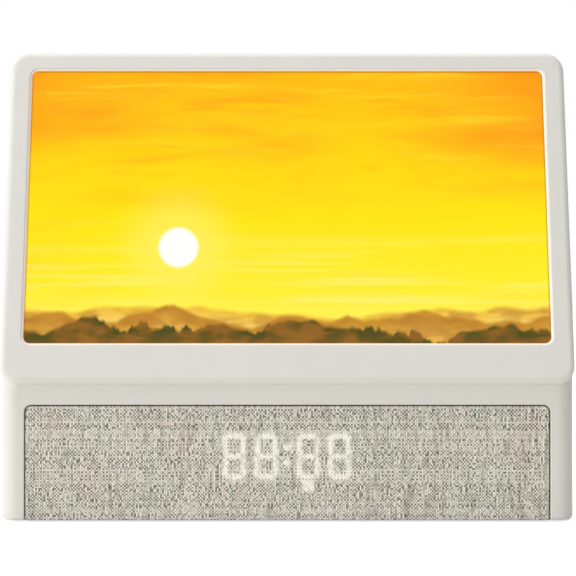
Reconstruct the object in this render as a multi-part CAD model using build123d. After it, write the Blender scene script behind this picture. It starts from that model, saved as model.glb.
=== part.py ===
from build123d import *
import os
from math import cos, pi, radians, sin, tan

# Sunrise alarm clock. Millimetres, +Z up, front towards -Y, and the origin under the middle
# of the clock, on the surface that it stands on.

# ---------------------------------------------------------------- driving dimensions

# Housing
body_width = 176.8
body_height = 146.7  # from the housing's bottom edge to its flat top
base_depth = 85.0  # from the front of the base to the back
nose_overhang = 3.2  # how far the leaning frame stands out over the base
nose_height = 41.9  # underside of the leaning frame, above the bottom edge
face_lean = 15.0  # degrees that the frame leans back
wall = 2.2
face_edge_radius = 1.9
frame_top_corner = 6.0
frame_lower_corner = 5.5
base_edge_radius = 5.2
back_edge_radius = 4.5
bottom_edge_radius = 1.2
rear_shell_depth = 36.0  # from the back to the seam between the shells
seam_gap = 0.3
foot_height = 0.6
foot_radius = 6.0
foot_inset = 16.0
shell_screw_low = 20.0  # the lower screws through the seam, above the bottom edge
shell_screw_high = 42.0  # the upper ones, below the top
shell_screw_inset = 15.0  # from the sides
boss_radius = 3.6
boss_length = 6.0
pilot_radius = 1.1
screw_hole_radius = 1.6
screw_head_radius = 2.7
screw_head_height = 1.8
screw_length = 7.0
floor_skin = 0.9  # what is left in front of a screw's pilot hole
well_radius = 3.1
well_wall = 1.1
well_floor = 2.5
vent_count = 9
vent_width = 2.0
vent_height = 24.0
vent_pitch = 5.0
vent_drop = 68.0  # from the top to the middle of the vents

# Screen and lamp
window_side_border = 7.0
window_top_border = 5.9
window_lower_border = 13.2
window_corner = 2.0
window_lip = 0.85  # the bevel around the opening
bezel_thickness = 0.8  # what is left of the wall in front of the sheets
screen_overlap = 3.0  # how far the sheets reach behind the frame
screen_thickness = 1.0
film_thickness = 0.3
diffuser_thickness = 1.5
tray_depth = 18.0
tray_wall = 1.5
tray_taper = 14.0  # how much smaller the tray's back is, on each side
tray_flange = 4.5
lamp_board_thickness = 1.6
lamp_columns = 7
lamp_rows = 4
lamp_width = 3.5
lamp_height = 0.8
tab_width = 12.0
tab_length = 5.4
tab_thickness = 2.0
tab_spacing = 35.0
hook_width = 14.0
hook_thickness = 2.0
hook_reach = 1.4
fit_gap = 0.2

# Cloth front
panel_side_border = 7.7
panel_top_border = 6.6  # from the cloth to the underside of the leaning frame
panel_corner = 2.0
panel_lower_corner = 1.0
panel_gap = 0.25
panel_edge_radius = 0.4
cloth_thickness = 0.8
grille_flange = 1.5
grille_overlap = 1.4
grille_top_rise = 6.2
grille_screw_rise = 2.9
grille_boss_radius = 2.4
grille_screw_head = 3.4
grille_slot_width = 2.2
grille_slot_pitch = 4.2

# Clock display
digit_height = 14.2
digit_width = 7.6
digit_pitch = 9.6
digit_foot = 12.4  # bottom of the digits above the bottom edge
pair_gap = 12.9  # between the middles of the inner two digits
segment_width = 1.7
segment_gap = 0.35
segment_depth = 5.0
digit_block_width = 48.0
digit_block_rise = 3.0
digit_block_drop = 6.2
digit_block_depth = 7.0
marker_size = 3.2
colon_pitch = 4.9
display_board_thickness = 1.6
display_board_margin = 3.6
display_post_radius = 1.4

# Loudspeakers
speaker_margin = 1.4  # from a loudspeaker's rim to the outside of its chamber
speaker_rim = 1.2
cone_inset = 4.0  # from a loudspeaker's rim to its cone
surround_width = 2.0
cone_thickness = 0.6
cone_depth = 4.0
coil_radius = 5.0
coil_length = 4.0
coil_room = 1.0
magnet_radius = 9.5
magnet_depth = 6.0
basket_depth = 8.0
chamber_depth = 30.0
chamber_from_side = 11.5
chamber_to_display = 2.4
chamber_drop = 0.9  # below the cloth's top
chamber_wall = 1.6

# Base plate and what stands on it
plate_thickness = 2.4
plate_screw_head = 1.2
plate_gap = 0.25
plate_boss_radius = 3.6
plate_boss_height = 12.0
plate_boss_front = 21.0  # from the front of the base
plate_boss_back = 14.0  # from the back
board_rise = 5.0
board_thickness = 1.6
board_depth = 34.0
board_from_side = 25.5
board_edge = 4.5
standoff_radius = 3.0
usb_width = 8.94
usb_height = 3.26
usb_length = 7.35
usb_shell = 0.3
usb_tongue_width = 6.2
usb_tongue_thickness = 0.7
usb_tongue_setback = 1.0
usb_offset = 0.0
usb_setback = 0.3
usb_clearance = 0.35
slider_from_board_end = 28.0
slider_width = 5.0
slider_height = 3.0
slider_setback = 0.3
slider_groove = 0.6
slider_groove_pitch = 1.4
slider_stem = 1.6
slider_inside = 0.4
slider_travel = 3.0
slider_clearance = 0.3
switch_length = 11.0
switch_depth = 5.0
switch_height = 4.6
switch_slot = 3.0
chip_row = -5.0  # from the main board's middle
chip_pitch = 16.0
processor_size = 10.0
chip_size = 6.0
chip_height = 1.1
power_coil_size = 7.0
power_coil_height = 3.2
capacitor_radius = 2.5
capacitor_height = 6.0
capacitor_pitch = 7.0
cell_radius = 10.0
cell_thickness = 3.2
cell_from_side = 45.5
cell_from_back = 26.0
cell_clearance = 0.3
holder_wall = 1.5
door_length = 34.0
door_width = 25.0
door_thickness = 1.4
door_gap = 0.2
door_grip_pitch = 2.0
door_grip_width = 0.8
door_screw_from_end = 3.4

# Top keys
key_depth = 12.0
key_corner = 3.0
key_from_back = 25.0
key_proud = 1.0
key_edge = 0.5
key_clearance = 0.35
key_flange = 1.0
key_flange_thickness = 1.2
key_travel = 0.6
key_gap = 0.3
key_stem_radius = 2.0
small_key_width = 14.0
key_pitch = 20.0
outer_key_from_side = 25.5
snooze_spacing = 10.0  # from the snooze key to the next
key_board_drop = 9.0  # from the top wall to the key board
key_board_thickness = 1.6
key_board_depth = 16.0
key_board_end = 4.0
key_board_corner = 2.0
tact_size = 6.0
tact_height = 3.4
plunger_radius = 1.6
plunger_rise = 1.2
plunger_clearance = 0.2
post_radius = 2.4
post_from_side = 14.5
board_screw_head = 2.2
board_screw_head_height = 1.3
board_screw_radius = 0.9
board_screw_length = 4.0

# Cables
ribbon_thickness = 0.4
ribbon_width = 8.0
plug_height = 4.0
plug_depth = 4.0
plug_wall = 1.0
ribbon_slack = 6.0
lamp_plug_x = -22.0
lamp_plug_inset = 6.5  # from the lower edge of the lamp board
lead_radius = 0.9
lead_rise = 4.0
lead_slack = 4.0
lead_exit_inset = 3.5  # from the side of a loudspeaker's chamber
lead_plug_width = 2.6
lead_plug_inset = 12.0

# ---------------------------------------------------------------- worked out from those

base = foot_height  # the housing's bottom edge
top = base + body_height
half_width = body_width / 2
lean = radians(face_lean)
nose_angle = pi / 2 - lean
nose_rounding = face_edge_radius * (1 / tan(nose_angle / 2) - 1)  # what the fillet takes off the nose
nose_reach = nose_overhang - nose_rounding
base_front = -(base_depth + nose_reach) / 2 + nose_reach
nose = base_front - nose_overhang  # the leaning face, extended down to the level of its underside
back = base_front + base_depth
seam = back - rear_shell_depth
nose_floor = base + nose_height
face_length = (body_height - nose_height) / cos(lean)
face = Plane(origin=(0, nose, nose_floor), x_dir=(1, 0, 0), z_dir=(0, -cos(lean), sin(lean)))
inner_half = half_width - wall
plate_top = base + plate_thickness

window_width = body_width - 2 * window_side_border
window_height = face_length - window_top_border - window_lower_border
window_middle = window_lower_border + window_height / 2
screen_width = window_width + 2 * screen_overlap
screen_height = window_height + 2 * screen_overlap
film_depth = bezel_thickness + screen_thickness
diffuser_depth = film_depth + film_thickness
tray_front_depth = diffuser_depth + diffuser_thickness
tray_back_depth = tray_front_depth + tray_depth
tab_back_depth = tray_front_depth + tab_thickness
tray_back_width = screen_width - 2 * tray_taper
tray_back_height = screen_height - 2 * tray_taper
lamp_board_back = tray_back_depth + lamp_board_thickness

grille_front = base_front + cloth_thickness
wall_back = base_front + wall
flange_back = wall_back + grille_flange
panel_width = body_width - 2 * panel_side_border
panel_top = nose_floor - panel_top_border
grille_boss_height = panel_top + panel_gap + grille_screw_rise
grille_flange_half = panel_width / 2 + panel_gap + grille_overlap
grille_flange_top = panel_top + panel_gap + grille_top_rise

cell_x = half_width - cell_from_side
cell_y = back - cell_from_back
board_left = -half_width + board_from_side
board_right = cell_x - cell_radius - cell_clearance - holder_wall - fit_gap
board_width = board_right - board_left
board_offset = (board_left + board_right) / 2
board_floor = plate_top + board_rise
board_top = board_floor + board_thickness
board_back = back - wall - fit_gap
board_front = board_back - board_depth
board_middle_y = board_back - board_depth / 2
chamber_low = plate_top + fit_gap
chamber_top = panel_top - chamber_drop
speaker_axis = (chamber_low + chamber_top) / 2
speaker_radius = (chamber_top - chamber_low) / 2 - speaker_margin
cone_radius = speaker_radius - cone_inset
board_half = digit_block_width / 2 + display_board_margin
chamber_outer = half_width - chamber_from_side
chamber_inner = board_half + chamber_to_display
chamber_width = chamber_outer - chamber_inner
speaker_offset = (chamber_inner + chamber_outer) / 2

key_row = back - key_from_back
ceiling = top - wall
key_board_top = ceiling - key_board_drop
outer_key_offset = half_width - outer_key_from_side
inner_key_offset = outer_key_offset - key_pitch
snooze_width = 2 * (inner_key_offset - small_key_width / 2 - snooze_spacing)
post_outer_offset = half_width - post_from_side
post_inner_offset = (snooze_width + snooze_spacing) / 2
key_board_width = 2 * (post_outer_offset + key_board_end)
key_top = top + key_proud
key_flange_top = ceiling - key_gap
keys = {
    "light_key": (-outer_key_offset, small_key_width),
    "alarm_key": (-inner_key_offset, small_key_width),
    "snooze_key": (0.0, snooze_width),
    "sound_down_key": (inner_key_offset, small_key_width),
    "sound_up_key": (outer_key_offset, small_key_width),
}
sides = {"left": -1, "right": 1}

usb_middle = board_top + usb_height / 2
slider_offset = board_left + slider_from_board_end
slider_middle = board_top + switch_height / 2
tab_middle = window_middle - screen_height / 2 - boss_radius - fit_gap
tab_places = (-tab_spacing, 0.0, tab_spacing)
hook_foot = window_middle + screen_height / 2 - hook_reach
post_places = (-post_outer_offset, -post_inner_offset, post_inner_offset, post_outer_offset)
grille_screw_places = (-speaker_offset, -speaker_offset / 3, speaker_offset / 3, speaker_offset)

pieces = {}


# ---------------------------------------------------------------- small helpers


def block(x, y, z):
    """A box between two values along each axis."""
    return Box(x[1] - x[0], y[1] - y[0], z[1] - z[0], align=(Align.MIN,) * 3).moved(Pos(x[0], y[0], z[0]))


def span(middle, size):
    """The two ends of a size about its middle."""
    return (middle - size / 2, middle + size / 2)


def rod_z(radius, x, y, low, high):
    return Pos(x, y, (low + high) / 2) * Cylinder(radius, high - low)


def rod_y(radius, x, z, front, rear):
    return Pos(x, (front + rear) / 2, z) * Rot(90, 0, 0) * Cylinder(radius, rear - front)


def plate_z(width, depth, radius, x, y, low, high):
    """A flat plate with rounded corners that lies level."""
    outline = RectangleRounded(width, depth, radius)
    return Pos(x, y, low) * extrude(outline, amount=high - low)


def sheet(width, height, corner, middle, depth, thickness):
    """A sheet parallel to the leaning face, from a depth below it further into the clock."""
    outline = RectangleRounded(width, height, corner)
    return face.offset(-depth - thickness) * Pos(0, middle, 0) * extrude(outline, amount=thickness)


def frustum(width, height, depth_from, depth_to, taper, middle):
    """A solid that narrows from one depth below the leaning face to another."""
    front = face.offset(-depth_from) * Pos(0, middle, 0) * Rectangle(width, height)
    rear = face.offset(-depth_to) * Pos(0, middle, 0) * Rectangle(width - 2 * taper, height - 2 * taper)
    return loft([front, rear])


def face_rod(radius, x, y, depth_from, depth_to):
    """A rod square to the leaning face."""
    return face.offset(-depth_to) * Pos(x, y, 0) * extrude(Circle(radius), amount=depth_to - depth_from)


def upright_corners(solid, y):
    """The upright edges of a box-like solid at one Y."""
    return solid.edges().filter_by(Axis.Z).filter_by_position(Axis.Y, y - 0.01, y + 0.01)


def screw(shank_radius, length, head_radius, head_height):
    """A pan-head screw along +Z, with the underside of its head at the origin."""
    shank = Pos(0, 0, length / 2) * Cylinder(shank_radius, length)
    head = Pos(0, 0, -head_height / 2) * Cylinder(head_radius, head_height)
    head = fillet(head.edges().sort_by(Axis.Z)[0], head_height / 3)
    recess = Pos(0, 0, -head_height) * Box(head_radius, head_height / 4, head_height)
    cross = Pos(0, 0, -head_height) * Box(head_height / 4, head_radius, head_height)
    return shank + head - recess - cross


# ---------------------------------------------------------------- housing


def clock_block(inset):
    """The clock's outer shape, or the same shape drawn in by a wall."""
    half = half_width - inset
    front = base_front + inset
    rear = back - inset
    low = base + inset
    floor = nose_floor + inset
    lower = block((-half, half), (front, rear), (low, nose_floor + frame_lower_corner + 1))
    lower = fillet(upright_corners(lower, front), base_edge_radius - inset)
    upper = block((-half, half), (nose - 1, rear), (floor, top - inset))
    upper = fillet(upper.edges().filter_by(Axis.Y).sort_by(Axis.Z)[-2:], frame_top_corner - inset)
    upper = fillet(upper.edges().filter_by(Axis.Y).sort_by(Axis.Z)[:2], frame_lower_corner - inset)
    in_front = Pos(0, 0, body_height / 2) * Box(2 * body_width, 3 * body_height, body_height)
    upper -= face.offset(-inset) * in_front
    if face_edge_radius > inset:
        leaning = upper.faces().filter_by(lambda f: f.normal_at().dot(face.z_dir) > 0.999)[0]
        upper = fillet(leaning.edges(), face_edge_radius - inset)
    whole = lower + upper
    rear_edges = whole.faces().sort_by(Axis.Y)[-1].edges().sort_by(Axis.Z)[1:]
    whole = fillet(rear_edges, back_edge_radius - inset)
    if bottom_edge_radius > inset:
        whole = fillet(whole.faces().sort_by(Axis.Z)[0].edges(), bottom_edge_radius - inset)
    return whole


outer = clock_block(0)
hollow = clock_block(wall)
mid_wall = clock_block(wall / 2)  # trims what grows out of the inside of the walls
plate_hole = block((-inner_half, inner_half), (wall_back, back - wall), (base - 1, base + wall + 1))
plate_hole = plate_hole & (hollow.moved(Pos(0, 0, -wall - 1)) + hollow)
shell = outer - hollow - plate_hole
front_half = block((-half_width - 1, half_width + 1), (nose - 1, seam - seam_gap / 2), (0, top + 1))
rear_half = block((-half_width - 1, half_width + 1), (seam + seam_gap / 2, back + 1), (0, top + 1))

shell_screw_x = half_width - shell_screw_inset
shell_screw_heights = (base + shell_screw_low, top - shell_screw_high)
shell_screws = [(side * shell_screw_x, z) for side in (-1, 1) for z in shell_screw_heights]
plate_boss_x = inner_half - plate_boss_radius
plate_boss_rows = (base_front + plate_boss_front, back - plate_boss_back)


def usb_outline(grown, front, rear):
    """The socket's rounded outline, grown by a clearance, between two values of Y."""
    start = Plane((usb_offset, rear, usb_middle), x_dir=(1, 0, 0), z_dir=(0, -1, 0))
    outline = SlotOverall(usb_width + 2 * grown, usb_height + 2 * grown)
    return start * extrude(outline, amount=rear - front)


def to_side_wall(x):
    """From a boss to the middle of the side wall next to it."""
    return (x, half_width - wall / 2) if x > 0 else (-half_width + wall / 2, x)


def side_web(x, y, z, thickness):
    """A web from a boss to the side wall next to it."""
    return block(to_side_wall(x), y, span(z, thickness))


def plate_boss(x, y):
    """An upright boss against a side wall, which a base plate screw goes into."""
    boss_top = plate_top + plate_boss_height
    boss = rod_z(plate_boss_radius, x, y, plate_top, boss_top)
    boss += block(to_side_wall(x), span(y, 2 * plate_boss_radius), (plate_top, boss_top))
    return boss - rod_z(pilot_radius, x, y, plate_top - 1, plate_top + screw_length)


def panel_opening(gap, front, rear):
    """The hole that the cloth front fits, open at the bottom."""
    half = panel_width / 2 + gap
    hole = block((-half, half), (front, rear), (base - gap - 1, panel_top + gap))
    top_edges = hole.edges().filter_by(Axis.Y).sort_by(Axis.Z)[-2:]
    return fillet(top_edges, panel_corner + gap)


def on_panel_opening(edge):
    """True for the edges around the cloth in the front of the base."""
    ends_in_front = all(abs(edge.position_at(at).Y - base_front) < 0.01 for at in (0, 0.5, 1))
    middle = edge.position_at(0.5)
    inside = abs(middle.X) < panel_width / 2 + panel_gap + 0.01
    return ends_in_front and inside and middle.Z < panel_top + panel_gap + 0.01


def make_front_housing():
    """The leaning frame and the base's front and sides, with the bosses inside."""
    body = shell & front_half
    opening = sheet(window_width, window_height, window_corner, window_middle, -1, wall + 2)
    lip_outer = face.offset(0.01) * Pos(0, window_middle, 0)
    lip_outer = lip_outer * RectangleRounded(
        window_width + 2 * window_lip, window_height + 2 * window_lip, window_corner + window_lip
    )
    lip_inner = face.offset(-bezel_thickness) * Pos(0, window_middle, 0)
    lip_inner = lip_inner * RectangleRounded(window_width, window_height, window_corner)
    seat_size = (screen_width + 2 * fit_gap, screen_height + 2 * fit_gap, window_corner + fit_gap)
    seat = sheet(*seat_size, window_middle, bezel_thickness, wall)
    body = body - opening - seat - loft([lip_outer, lip_inner])
    body = body - panel_opening(panel_gap, nose - 1, wall_back + 1)
    moulded_edge = body.edges().filter_by(on_panel_opening)
    body = fillet(moulded_edge, panel_edge_radius)
    for x, z in shell_screws:
        boss = rod_y(boss_radius, x, z, seam - seam_gap / 2 - boss_length, seam - seam_gap / 2)
        boss += side_web(x, (seam - boss_length, seam - seam_gap / 2), z, boss_radius)
        body += boss
        body -= rod_y(pilot_radius, x, z, seam - boss_length + 1, seam)
    for side in (-1, 1):
        body += plate_boss(side * plate_boss_x, plate_boss_rows[0])
    for x in grille_screw_places:
        body += rod_y(grille_boss_radius, x, grille_boss_height, wall_back - wall / 4, flange_back)
        body -= rod_y(pilot_radius, x, grille_boss_height, base_front + floor_skin, flange_back + 1)
    for x in tab_places:
        body += face_rod(boss_radius, x, tab_middle, wall / 2, tray_front_depth)
        body -= face_rod(pilot_radius, x, tab_middle, wall / 2, tray_front_depth + 1)
    hook_depth = tray_front_depth + tab_thickness + fit_gap
    for side in (-1, 1):
        x = side * tab_spacing
        arm = face.offset(-hook_depth - hook_thickness)
        hook = arm * Pos(x, hook_foot, 0) * Box(
            hook_width, face_length, hook_thickness, align=(Align.CENTER, Align.MIN, Align.MIN)
        )
        body += hook & mid_wall
    return body


def make_rear_housing():
    """The back shell, with screw wells, key holes, vents and the ports' holes."""
    body = shell & rear_half
    for x, z in shell_screws:
        tube = rod_y(well_radius + well_wall, x, z, seam + seam_gap / 2, back - wall / 2)
        tube += side_web(x, (seam + seam_gap / 2, back - wall), z, boss_radius)
        body += tube & mid_wall
        body -= rod_y(screw_hole_radius, x, z, seam - 1, back)
        body -= rod_y(well_radius, x, z, seam + seam_gap / 2 + well_floor, back + 1)
    for side in (-1, 1):
        body += plate_boss(side * plate_boss_x, plate_boss_rows[1])
    for x, width in keys.values():
        hole_size = (width + 2 * key_clearance, key_depth + 2 * key_clearance, key_corner + key_clearance)
        body -= plate_z(*hole_size, x, key_row, ceiling - 1, top + 1)
    for x in post_places:
        body += rod_z(post_radius, x, key_row, key_board_top, ceiling + wall / 4)
        body -= rod_z(board_screw_radius, x, key_row, key_board_top - 1, key_board_top + board_screw_length)
    body -= usb_outline(usb_clearance, back - wall - 1, back + 1)
    body -= block(
        span(slider_offset + slider_travel / 2, slider_width + slider_travel + 2 * slider_clearance),
        (back - wall - 1, back + 1),
        span(slider_middle, slider_height + 2 * slider_clearance),
    )
    for i in range(vent_count):
        x = (i - (vent_count - 1) / 2) * vent_pitch
        slot = SlotOverall(vent_height, vent_width, rotation=90)
        slot = Plane((x, back + 1, top - vent_drop), x_dir=(1, 0, 0), z_dir=(0, -1, 0)) * slot
        body -= extrude(slot, amount=wall + 2)
    return body


pieces["front_housing"] = make_front_housing()
pieces["rear_housing"] = make_rear_housing()


def make_shell_screws():
    group = []
    for x, z in shell_screws:
        place = Plane((x, seam + seam_gap / 2 + well_floor, z), x_dir=(1, 0, 0), z_dir=(0, -1, 0))
        group.append(place * screw(pilot_radius, screw_length, screw_head_radius, screw_head_height))
    return Compound(children=group)


pieces["shell_screws"] = make_shell_screws()


# ---------------------------------------------------------------- base plate, feet, cell


def plate_outline(low, high):
    """The base plate's outline, drawn in from the housing by the plate's gap."""
    inset = wall + plate_gap
    level = base + inset + plate_thickness
    slab = block(span(0, body_width), (flange_back + fit_gap, back), (level, level + 1))
    outline = (slab & clock_block(inset)).faces().sort_by(Axis.Z)[0].moved(Pos(0, 0, low - level))
    return extrude(outline, amount=high - low, dir=(0, 0, 1))


door_middle_x = cell_x + (door_length - 2 * (cell_radius + cell_clearance + holder_wall)) / 2
door_screw_x = door_middle_x + door_length / 2 - door_screw_from_end
standoff_rows = span(board_middle_y, board_depth - 2 * board_edge)
standoffs = [(x, y) for x in span(board_offset, board_width - 2 * board_edge) for y in standoff_rows]
plate_screws = [(side * plate_boss_x, y) for side in (-1, 1) for y in plate_boss_rows]
plate_screw_seat = base + plate_screw_head + fit_gap
door_boss_top = base + door_thickness / 2 + board_screw_length + floor_skin


def make_base_plate():
    """The base plate, with the main board's standoffs, the cell's hole and the door's recess."""
    plate = plate_outline(base, plate_top)
    for x, y in standoffs:
        plate += rod_z(standoff_radius, x, y, plate_top - plate_thickness / 2, board_floor)
        plate -= rod_z(board_screw_radius, x, y, board_top - board_screw_length, board_floor + 1)
    recess_size = (door_length + 2 * door_gap, door_width + 2 * door_gap, key_corner)
    plate -= plate_z(*recess_size, door_middle_x, cell_y, base - 1, base + door_thickness)
    plate -= rod_z(cell_radius + cell_clearance, cell_x, cell_y, base, plate_top + 1)
    plate += rod_z(plate_boss_radius, door_screw_x, cell_y, base + door_thickness, door_boss_top)
    plate -= rod_z(board_screw_radius, door_screw_x, cell_y, base, door_boss_top - floor_skin)
    for x, y in plate_screws:
        plate -= rod_z(screw_hole_radius, x, y, base - 1, plate_top + 1)
        plate -= rod_z(well_radius, x, y, base - 1, plate_screw_seat)
    return plate


def make_plate_screws():
    group = []
    for x, y in plate_screws:
        driven = screw(pilot_radius, screw_length, screw_head_radius, plate_screw_head)
        group.append(Pos(x, y, plate_screw_seat) * driven)
    return Compound(children=group)


def make_feet():
    group = []
    for x in (-half_width + foot_inset, half_width - foot_inset):
        for y in (base_front + foot_inset, back - foot_inset):
            foot = rod_z(foot_radius, x, y, 0, foot_height)
            group.append(fillet(foot.edges().sort_by(Axis.Z)[0], foot_height / 4))
    return Compound(children=group)


def make_cell_holder():
    outer_radius = cell_radius + cell_clearance + holder_wall
    floor_height = base + door_thickness + fit_gap + cell_thickness
    cup = rod_z(outer_radius, cell_x, cell_y, plate_top, floor_height + fit_gap + holder_wall)
    cup -= rod_z(cell_radius + cell_clearance, cell_x, cell_y, plate_top - 1, floor_height + fit_gap)
    return cup


def make_door():
    low_screw = base + door_thickness
    door = plate_z(door_length, door_width, key_corner - door_gap, door_middle_x, cell_y, base, low_screw)
    door -= rod_z(board_screw_radius + fit_gap, door_screw_x, cell_y, base - 1, low_screw + 1)
    door -= rod_z(board_screw_head + fit_gap, door_screw_x, cell_y, base - 1, base + door_thickness / 2)
    for row in (-1, 0, 1):
        grip_y = cell_y + row * door_grip_pitch
        door -= block(span(cell_x, cell_radius), span(grip_y, door_grip_width), span(base, door_grip_width))
    return door


cell_floor = base + door_thickness + fit_gap / 2
pieces["base_plate"] = make_base_plate()
pieces["base_screws"] = make_plate_screws()
pieces["rubber_feet"] = make_feet()
pieces["cell_holder"] = make_cell_holder()
pieces["coin_cell"] = rod_z(cell_radius, cell_x, cell_y, cell_floor, cell_floor + cell_thickness)
pieces["cell_door"] = make_door()
pieces["door_screw"] = Pos(door_screw_x, cell_y, base + door_thickness / 2) * screw(
    board_screw_radius, board_screw_length, board_screw_head, door_thickness / 2
)


# ---------------------------------------------------------------- screen and lamp


def make_light_box():
    tray = frustum(screen_width, screen_height, tray_front_depth, tray_back_depth, tray_taper, window_middle)
    tray -= frustum(
        screen_width - 2 * tray_wall,
        screen_height - 2 * tray_wall,
        tray_front_depth,
        tray_back_depth,
        tray_taper,
        window_middle,
    )
    tray += frame_sheet(screen_width, screen_height, tray_front_depth, tab_thickness)
    tray += frame_sheet(tray_back_width, tray_back_height, tray_back_depth - tray_wall, tray_wall)
    low = tab_middle - tab_length / 2
    high = window_middle - screen_height / 2 + tray_wall
    for x in tab_places:
        tab = sheet(tab_width, high - low, window_corner, (low + high) / 2, tray_front_depth, tab_thickness)
        tray += tab.moved(Pos(x, 0, 0))
        tray -= face_rod(screw_hole_radius, x, tab_middle, tray_front_depth - 1, tab_back_depth + 1)
    for x, y in lamp_screws:
        tray -= face_rod(board_screw_radius, x, y, tray_back_depth - tray_wall - 1, tray_back_depth + 1)
    return tray


def frame_sheet(width, height, depth, thickness):
    """A flat rim with a window, parallel to the leaning face."""
    rim = sheet(width, height, window_corner, window_middle, depth, thickness)
    inner_width = width - 2 * tray_flange
    inner_height = height - 2 * tray_flange
    return rim - sheet(inner_width, inner_height, window_corner, window_middle, depth - 1, thickness + 2)


lamp_screw_rows = span(window_middle, tray_back_height - tray_flange)
lamp_screws = [(x, y) for x in span(0, tray_back_width - tray_flange) for y in lamp_screw_rows]


def make_lamp_board():
    size = (tray_back_width, tray_back_height, window_corner)
    board = sheet(*size, window_middle, tray_back_depth, lamp_board_thickness)
    for x, y in lamp_screws:
        board -= face_rod(board_screw_radius + fit_gap, x, y, tray_back_depth - 1, lamp_board_back + 1)
    return board


def make_lamps():
    """The lamp's LEDs, in even rows and columns on the front of the lamp board."""
    group = []
    left, right = span(0, tray_back_width - 4 * tray_flange)
    low, high = span(window_middle, tray_back_height - 4 * tray_flange)
    for column in range(lamp_columns):
        for row in range(lamp_rows):
            x = left + (right - left) * column / (lamp_columns - 1)
            y = low + (high - low) * row / (lamp_rows - 1)
            lamp = Pos(x, y, lamp_height / 2) * Box(lamp_width, lamp_width, lamp_height)
            group.append(face.offset(-tray_back_depth) * lamp)
    return Compound(children=group)


def face_screws(places, depth, shank, length, head, head_height):
    """Screws driven from behind, square to the leaning face."""
    group = []
    for x, y in places:
        seat = face.offset(-depth) * Pos(x, y, 0)
        group.append(seat * screw(shank, length, head, head_height))
    return Compound(children=group)


sheet_outline = (screen_width, screen_height, window_corner, window_middle)
pieces["screen_window"] = sheet(*sheet_outline, bezel_thickness, screen_thickness)
pieces["picture_film"] = sheet(*sheet_outline, film_depth, film_thickness)
pieces["diffuser_sheet"] = sheet(*sheet_outline, diffuser_depth, diffuser_thickness)
pieces["light_box"] = make_light_box()
pieces["lamp_board"] = make_lamp_board()
pieces["lamp_leds"] = make_lamps()
pieces["light_box_screws"] = face_screws(
    [(x, tab_middle) for x in tab_places],
    tab_back_depth,
    pilot_radius,
    tab_back_depth - wall / 2 - fit_gap,
    screw_head_radius,
    screw_head_height,
)
pieces["lamp_board_screws"] = face_screws(
    lamp_screws,
    lamp_board_back,
    board_screw_radius,
    lamp_board_thickness + tray_wall,
    board_screw_head,
    board_screw_head_height,
)


# ---------------------------------------------------------------- cloth front and display

display_middle = base + digit_foot + digit_height / 2
digit_block_top = base + digit_foot + digit_height + digit_block_rise
digit_block_low = base + digit_foot - digit_block_drop
digit_front = grille_front + fit_gap
digit_back = digit_front + digit_block_depth
display_back = digit_back + display_board_thickness
post_middle = (display_board_margin - fit_gap) / 2
digit_middles = (
    -pair_gap / 2 - digit_pitch,
    -pair_gap / 2,
    pair_gap / 2,
    pair_gap / 2 + digit_pitch,
)


def raised_panel(gap, front, rear):
    """The cloth front's outline, drawn in by a gap."""
    half = panel_width / 2 - gap
    panel = block((-half, half), (front, rear), (base + gap, panel_top - gap))
    panel = fillet(panel.edges().filter_by(Axis.Y).sort_by(Axis.Z)[-2:], panel_corner - gap)
    return fillet(panel.edges().filter_by(Axis.Y).sort_by(Axis.Z)[:2], panel_lower_corner - gap)


def make_grille():
    """The plastic frame that the cloth is stretched over, with slots in front of the loudspeakers."""
    raised = raised_panel(cloth_thickness, grille_front, wall_back)
    flange = block(span(0, 2 * grille_flange_half), (wall_back, flange_back), (base, grille_flange_top))
    grille = raised + flange
    through = (grille_front - 1, flange_back + 1)
    window_rise = (digit_block_low - fit_gap, digit_block_top + fit_gap)
    grille -= block(span(0, digit_block_width + 2 * fit_gap), through, window_rise)
    for x in (post_middle - board_half, board_half - post_middle):
        for z in (digit_block_low + post_middle, digit_block_top + display_board_margin - post_middle):
            grille += rod_y(display_post_radius, x, z, wall_back, digit_back)
    for x in grille_screw_places:
        grille -= rod_y(grille_boss_radius + fit_gap, x, grille_boss_height, *through)
    reach = cone_radius + surround_width
    count = int((reach - grille_slot_width) // grille_slot_pitch)
    for side in sides.values():
        for i in range(-count, count + 1):
            offset = i * grille_slot_pitch
            slot_length = 2 * (reach**2 - offset**2) ** 0.5
            slot = SlotOverall(slot_length, grille_slot_width, rotation=90)
            place = (side * speaker_offset + offset, flange_back + 1, speaker_axis)
            start = Plane(place, x_dir=(1, 0, 0), z_dir=(0, -1, 0))
            grille -= start * extrude(slot, amount=through[1] - through[0])
    return grille


def segment(length, flat):
    """A seven-segment bar with pointed ends, lying along X or upright along Z, centred on the origin."""
    half = length / 2
    w = segment_width / 2
    points = [(-half, 0), (-half + w, w), (half - w, w), (half, 0), (half - w, -w), (-half + w, -w)]
    bar = make_face(Polyline(*points, close=True))
    return bar if flat else Rot(0, 0, 90) * bar


def digit_faces():
    """The flat shapes of all lit segments, in the XZ plane of the display."""
    shapes = []
    across = digit_width - segment_width
    upright = (digit_height - segment_width) / 2
    for x in digit_middles:
        for level in (-1, 0, 1):
            shapes.append(Pos(x, level * upright) * segment(across - segment_gap, True))
        for side in (-1, 1):
            for level in (-0.5, 0.5):
                bar = segment(upright - segment_gap, False)
                shapes.append(Pos(x + side * across / 2, level * upright) * bar)
    for level in (-1, 1):
        shapes.append(Pos(0, level * colon_pitch / 2) * Circle(segment_width / 2))
    marker_drop = digit_height / 2 + segment_gap + marker_size / 2
    shapes.append(Pos(digit_middles[2], -marker_drop) * Rectangle(marker_size, marker_size))
    return shapes


def through_display(shape, front, rear):
    plane = Plane((0, rear, display_middle), x_dir=(1, 0, 0), z_dir=(0, -1, 0))
    return extrude(plane * shape, amount=rear - front)


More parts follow.
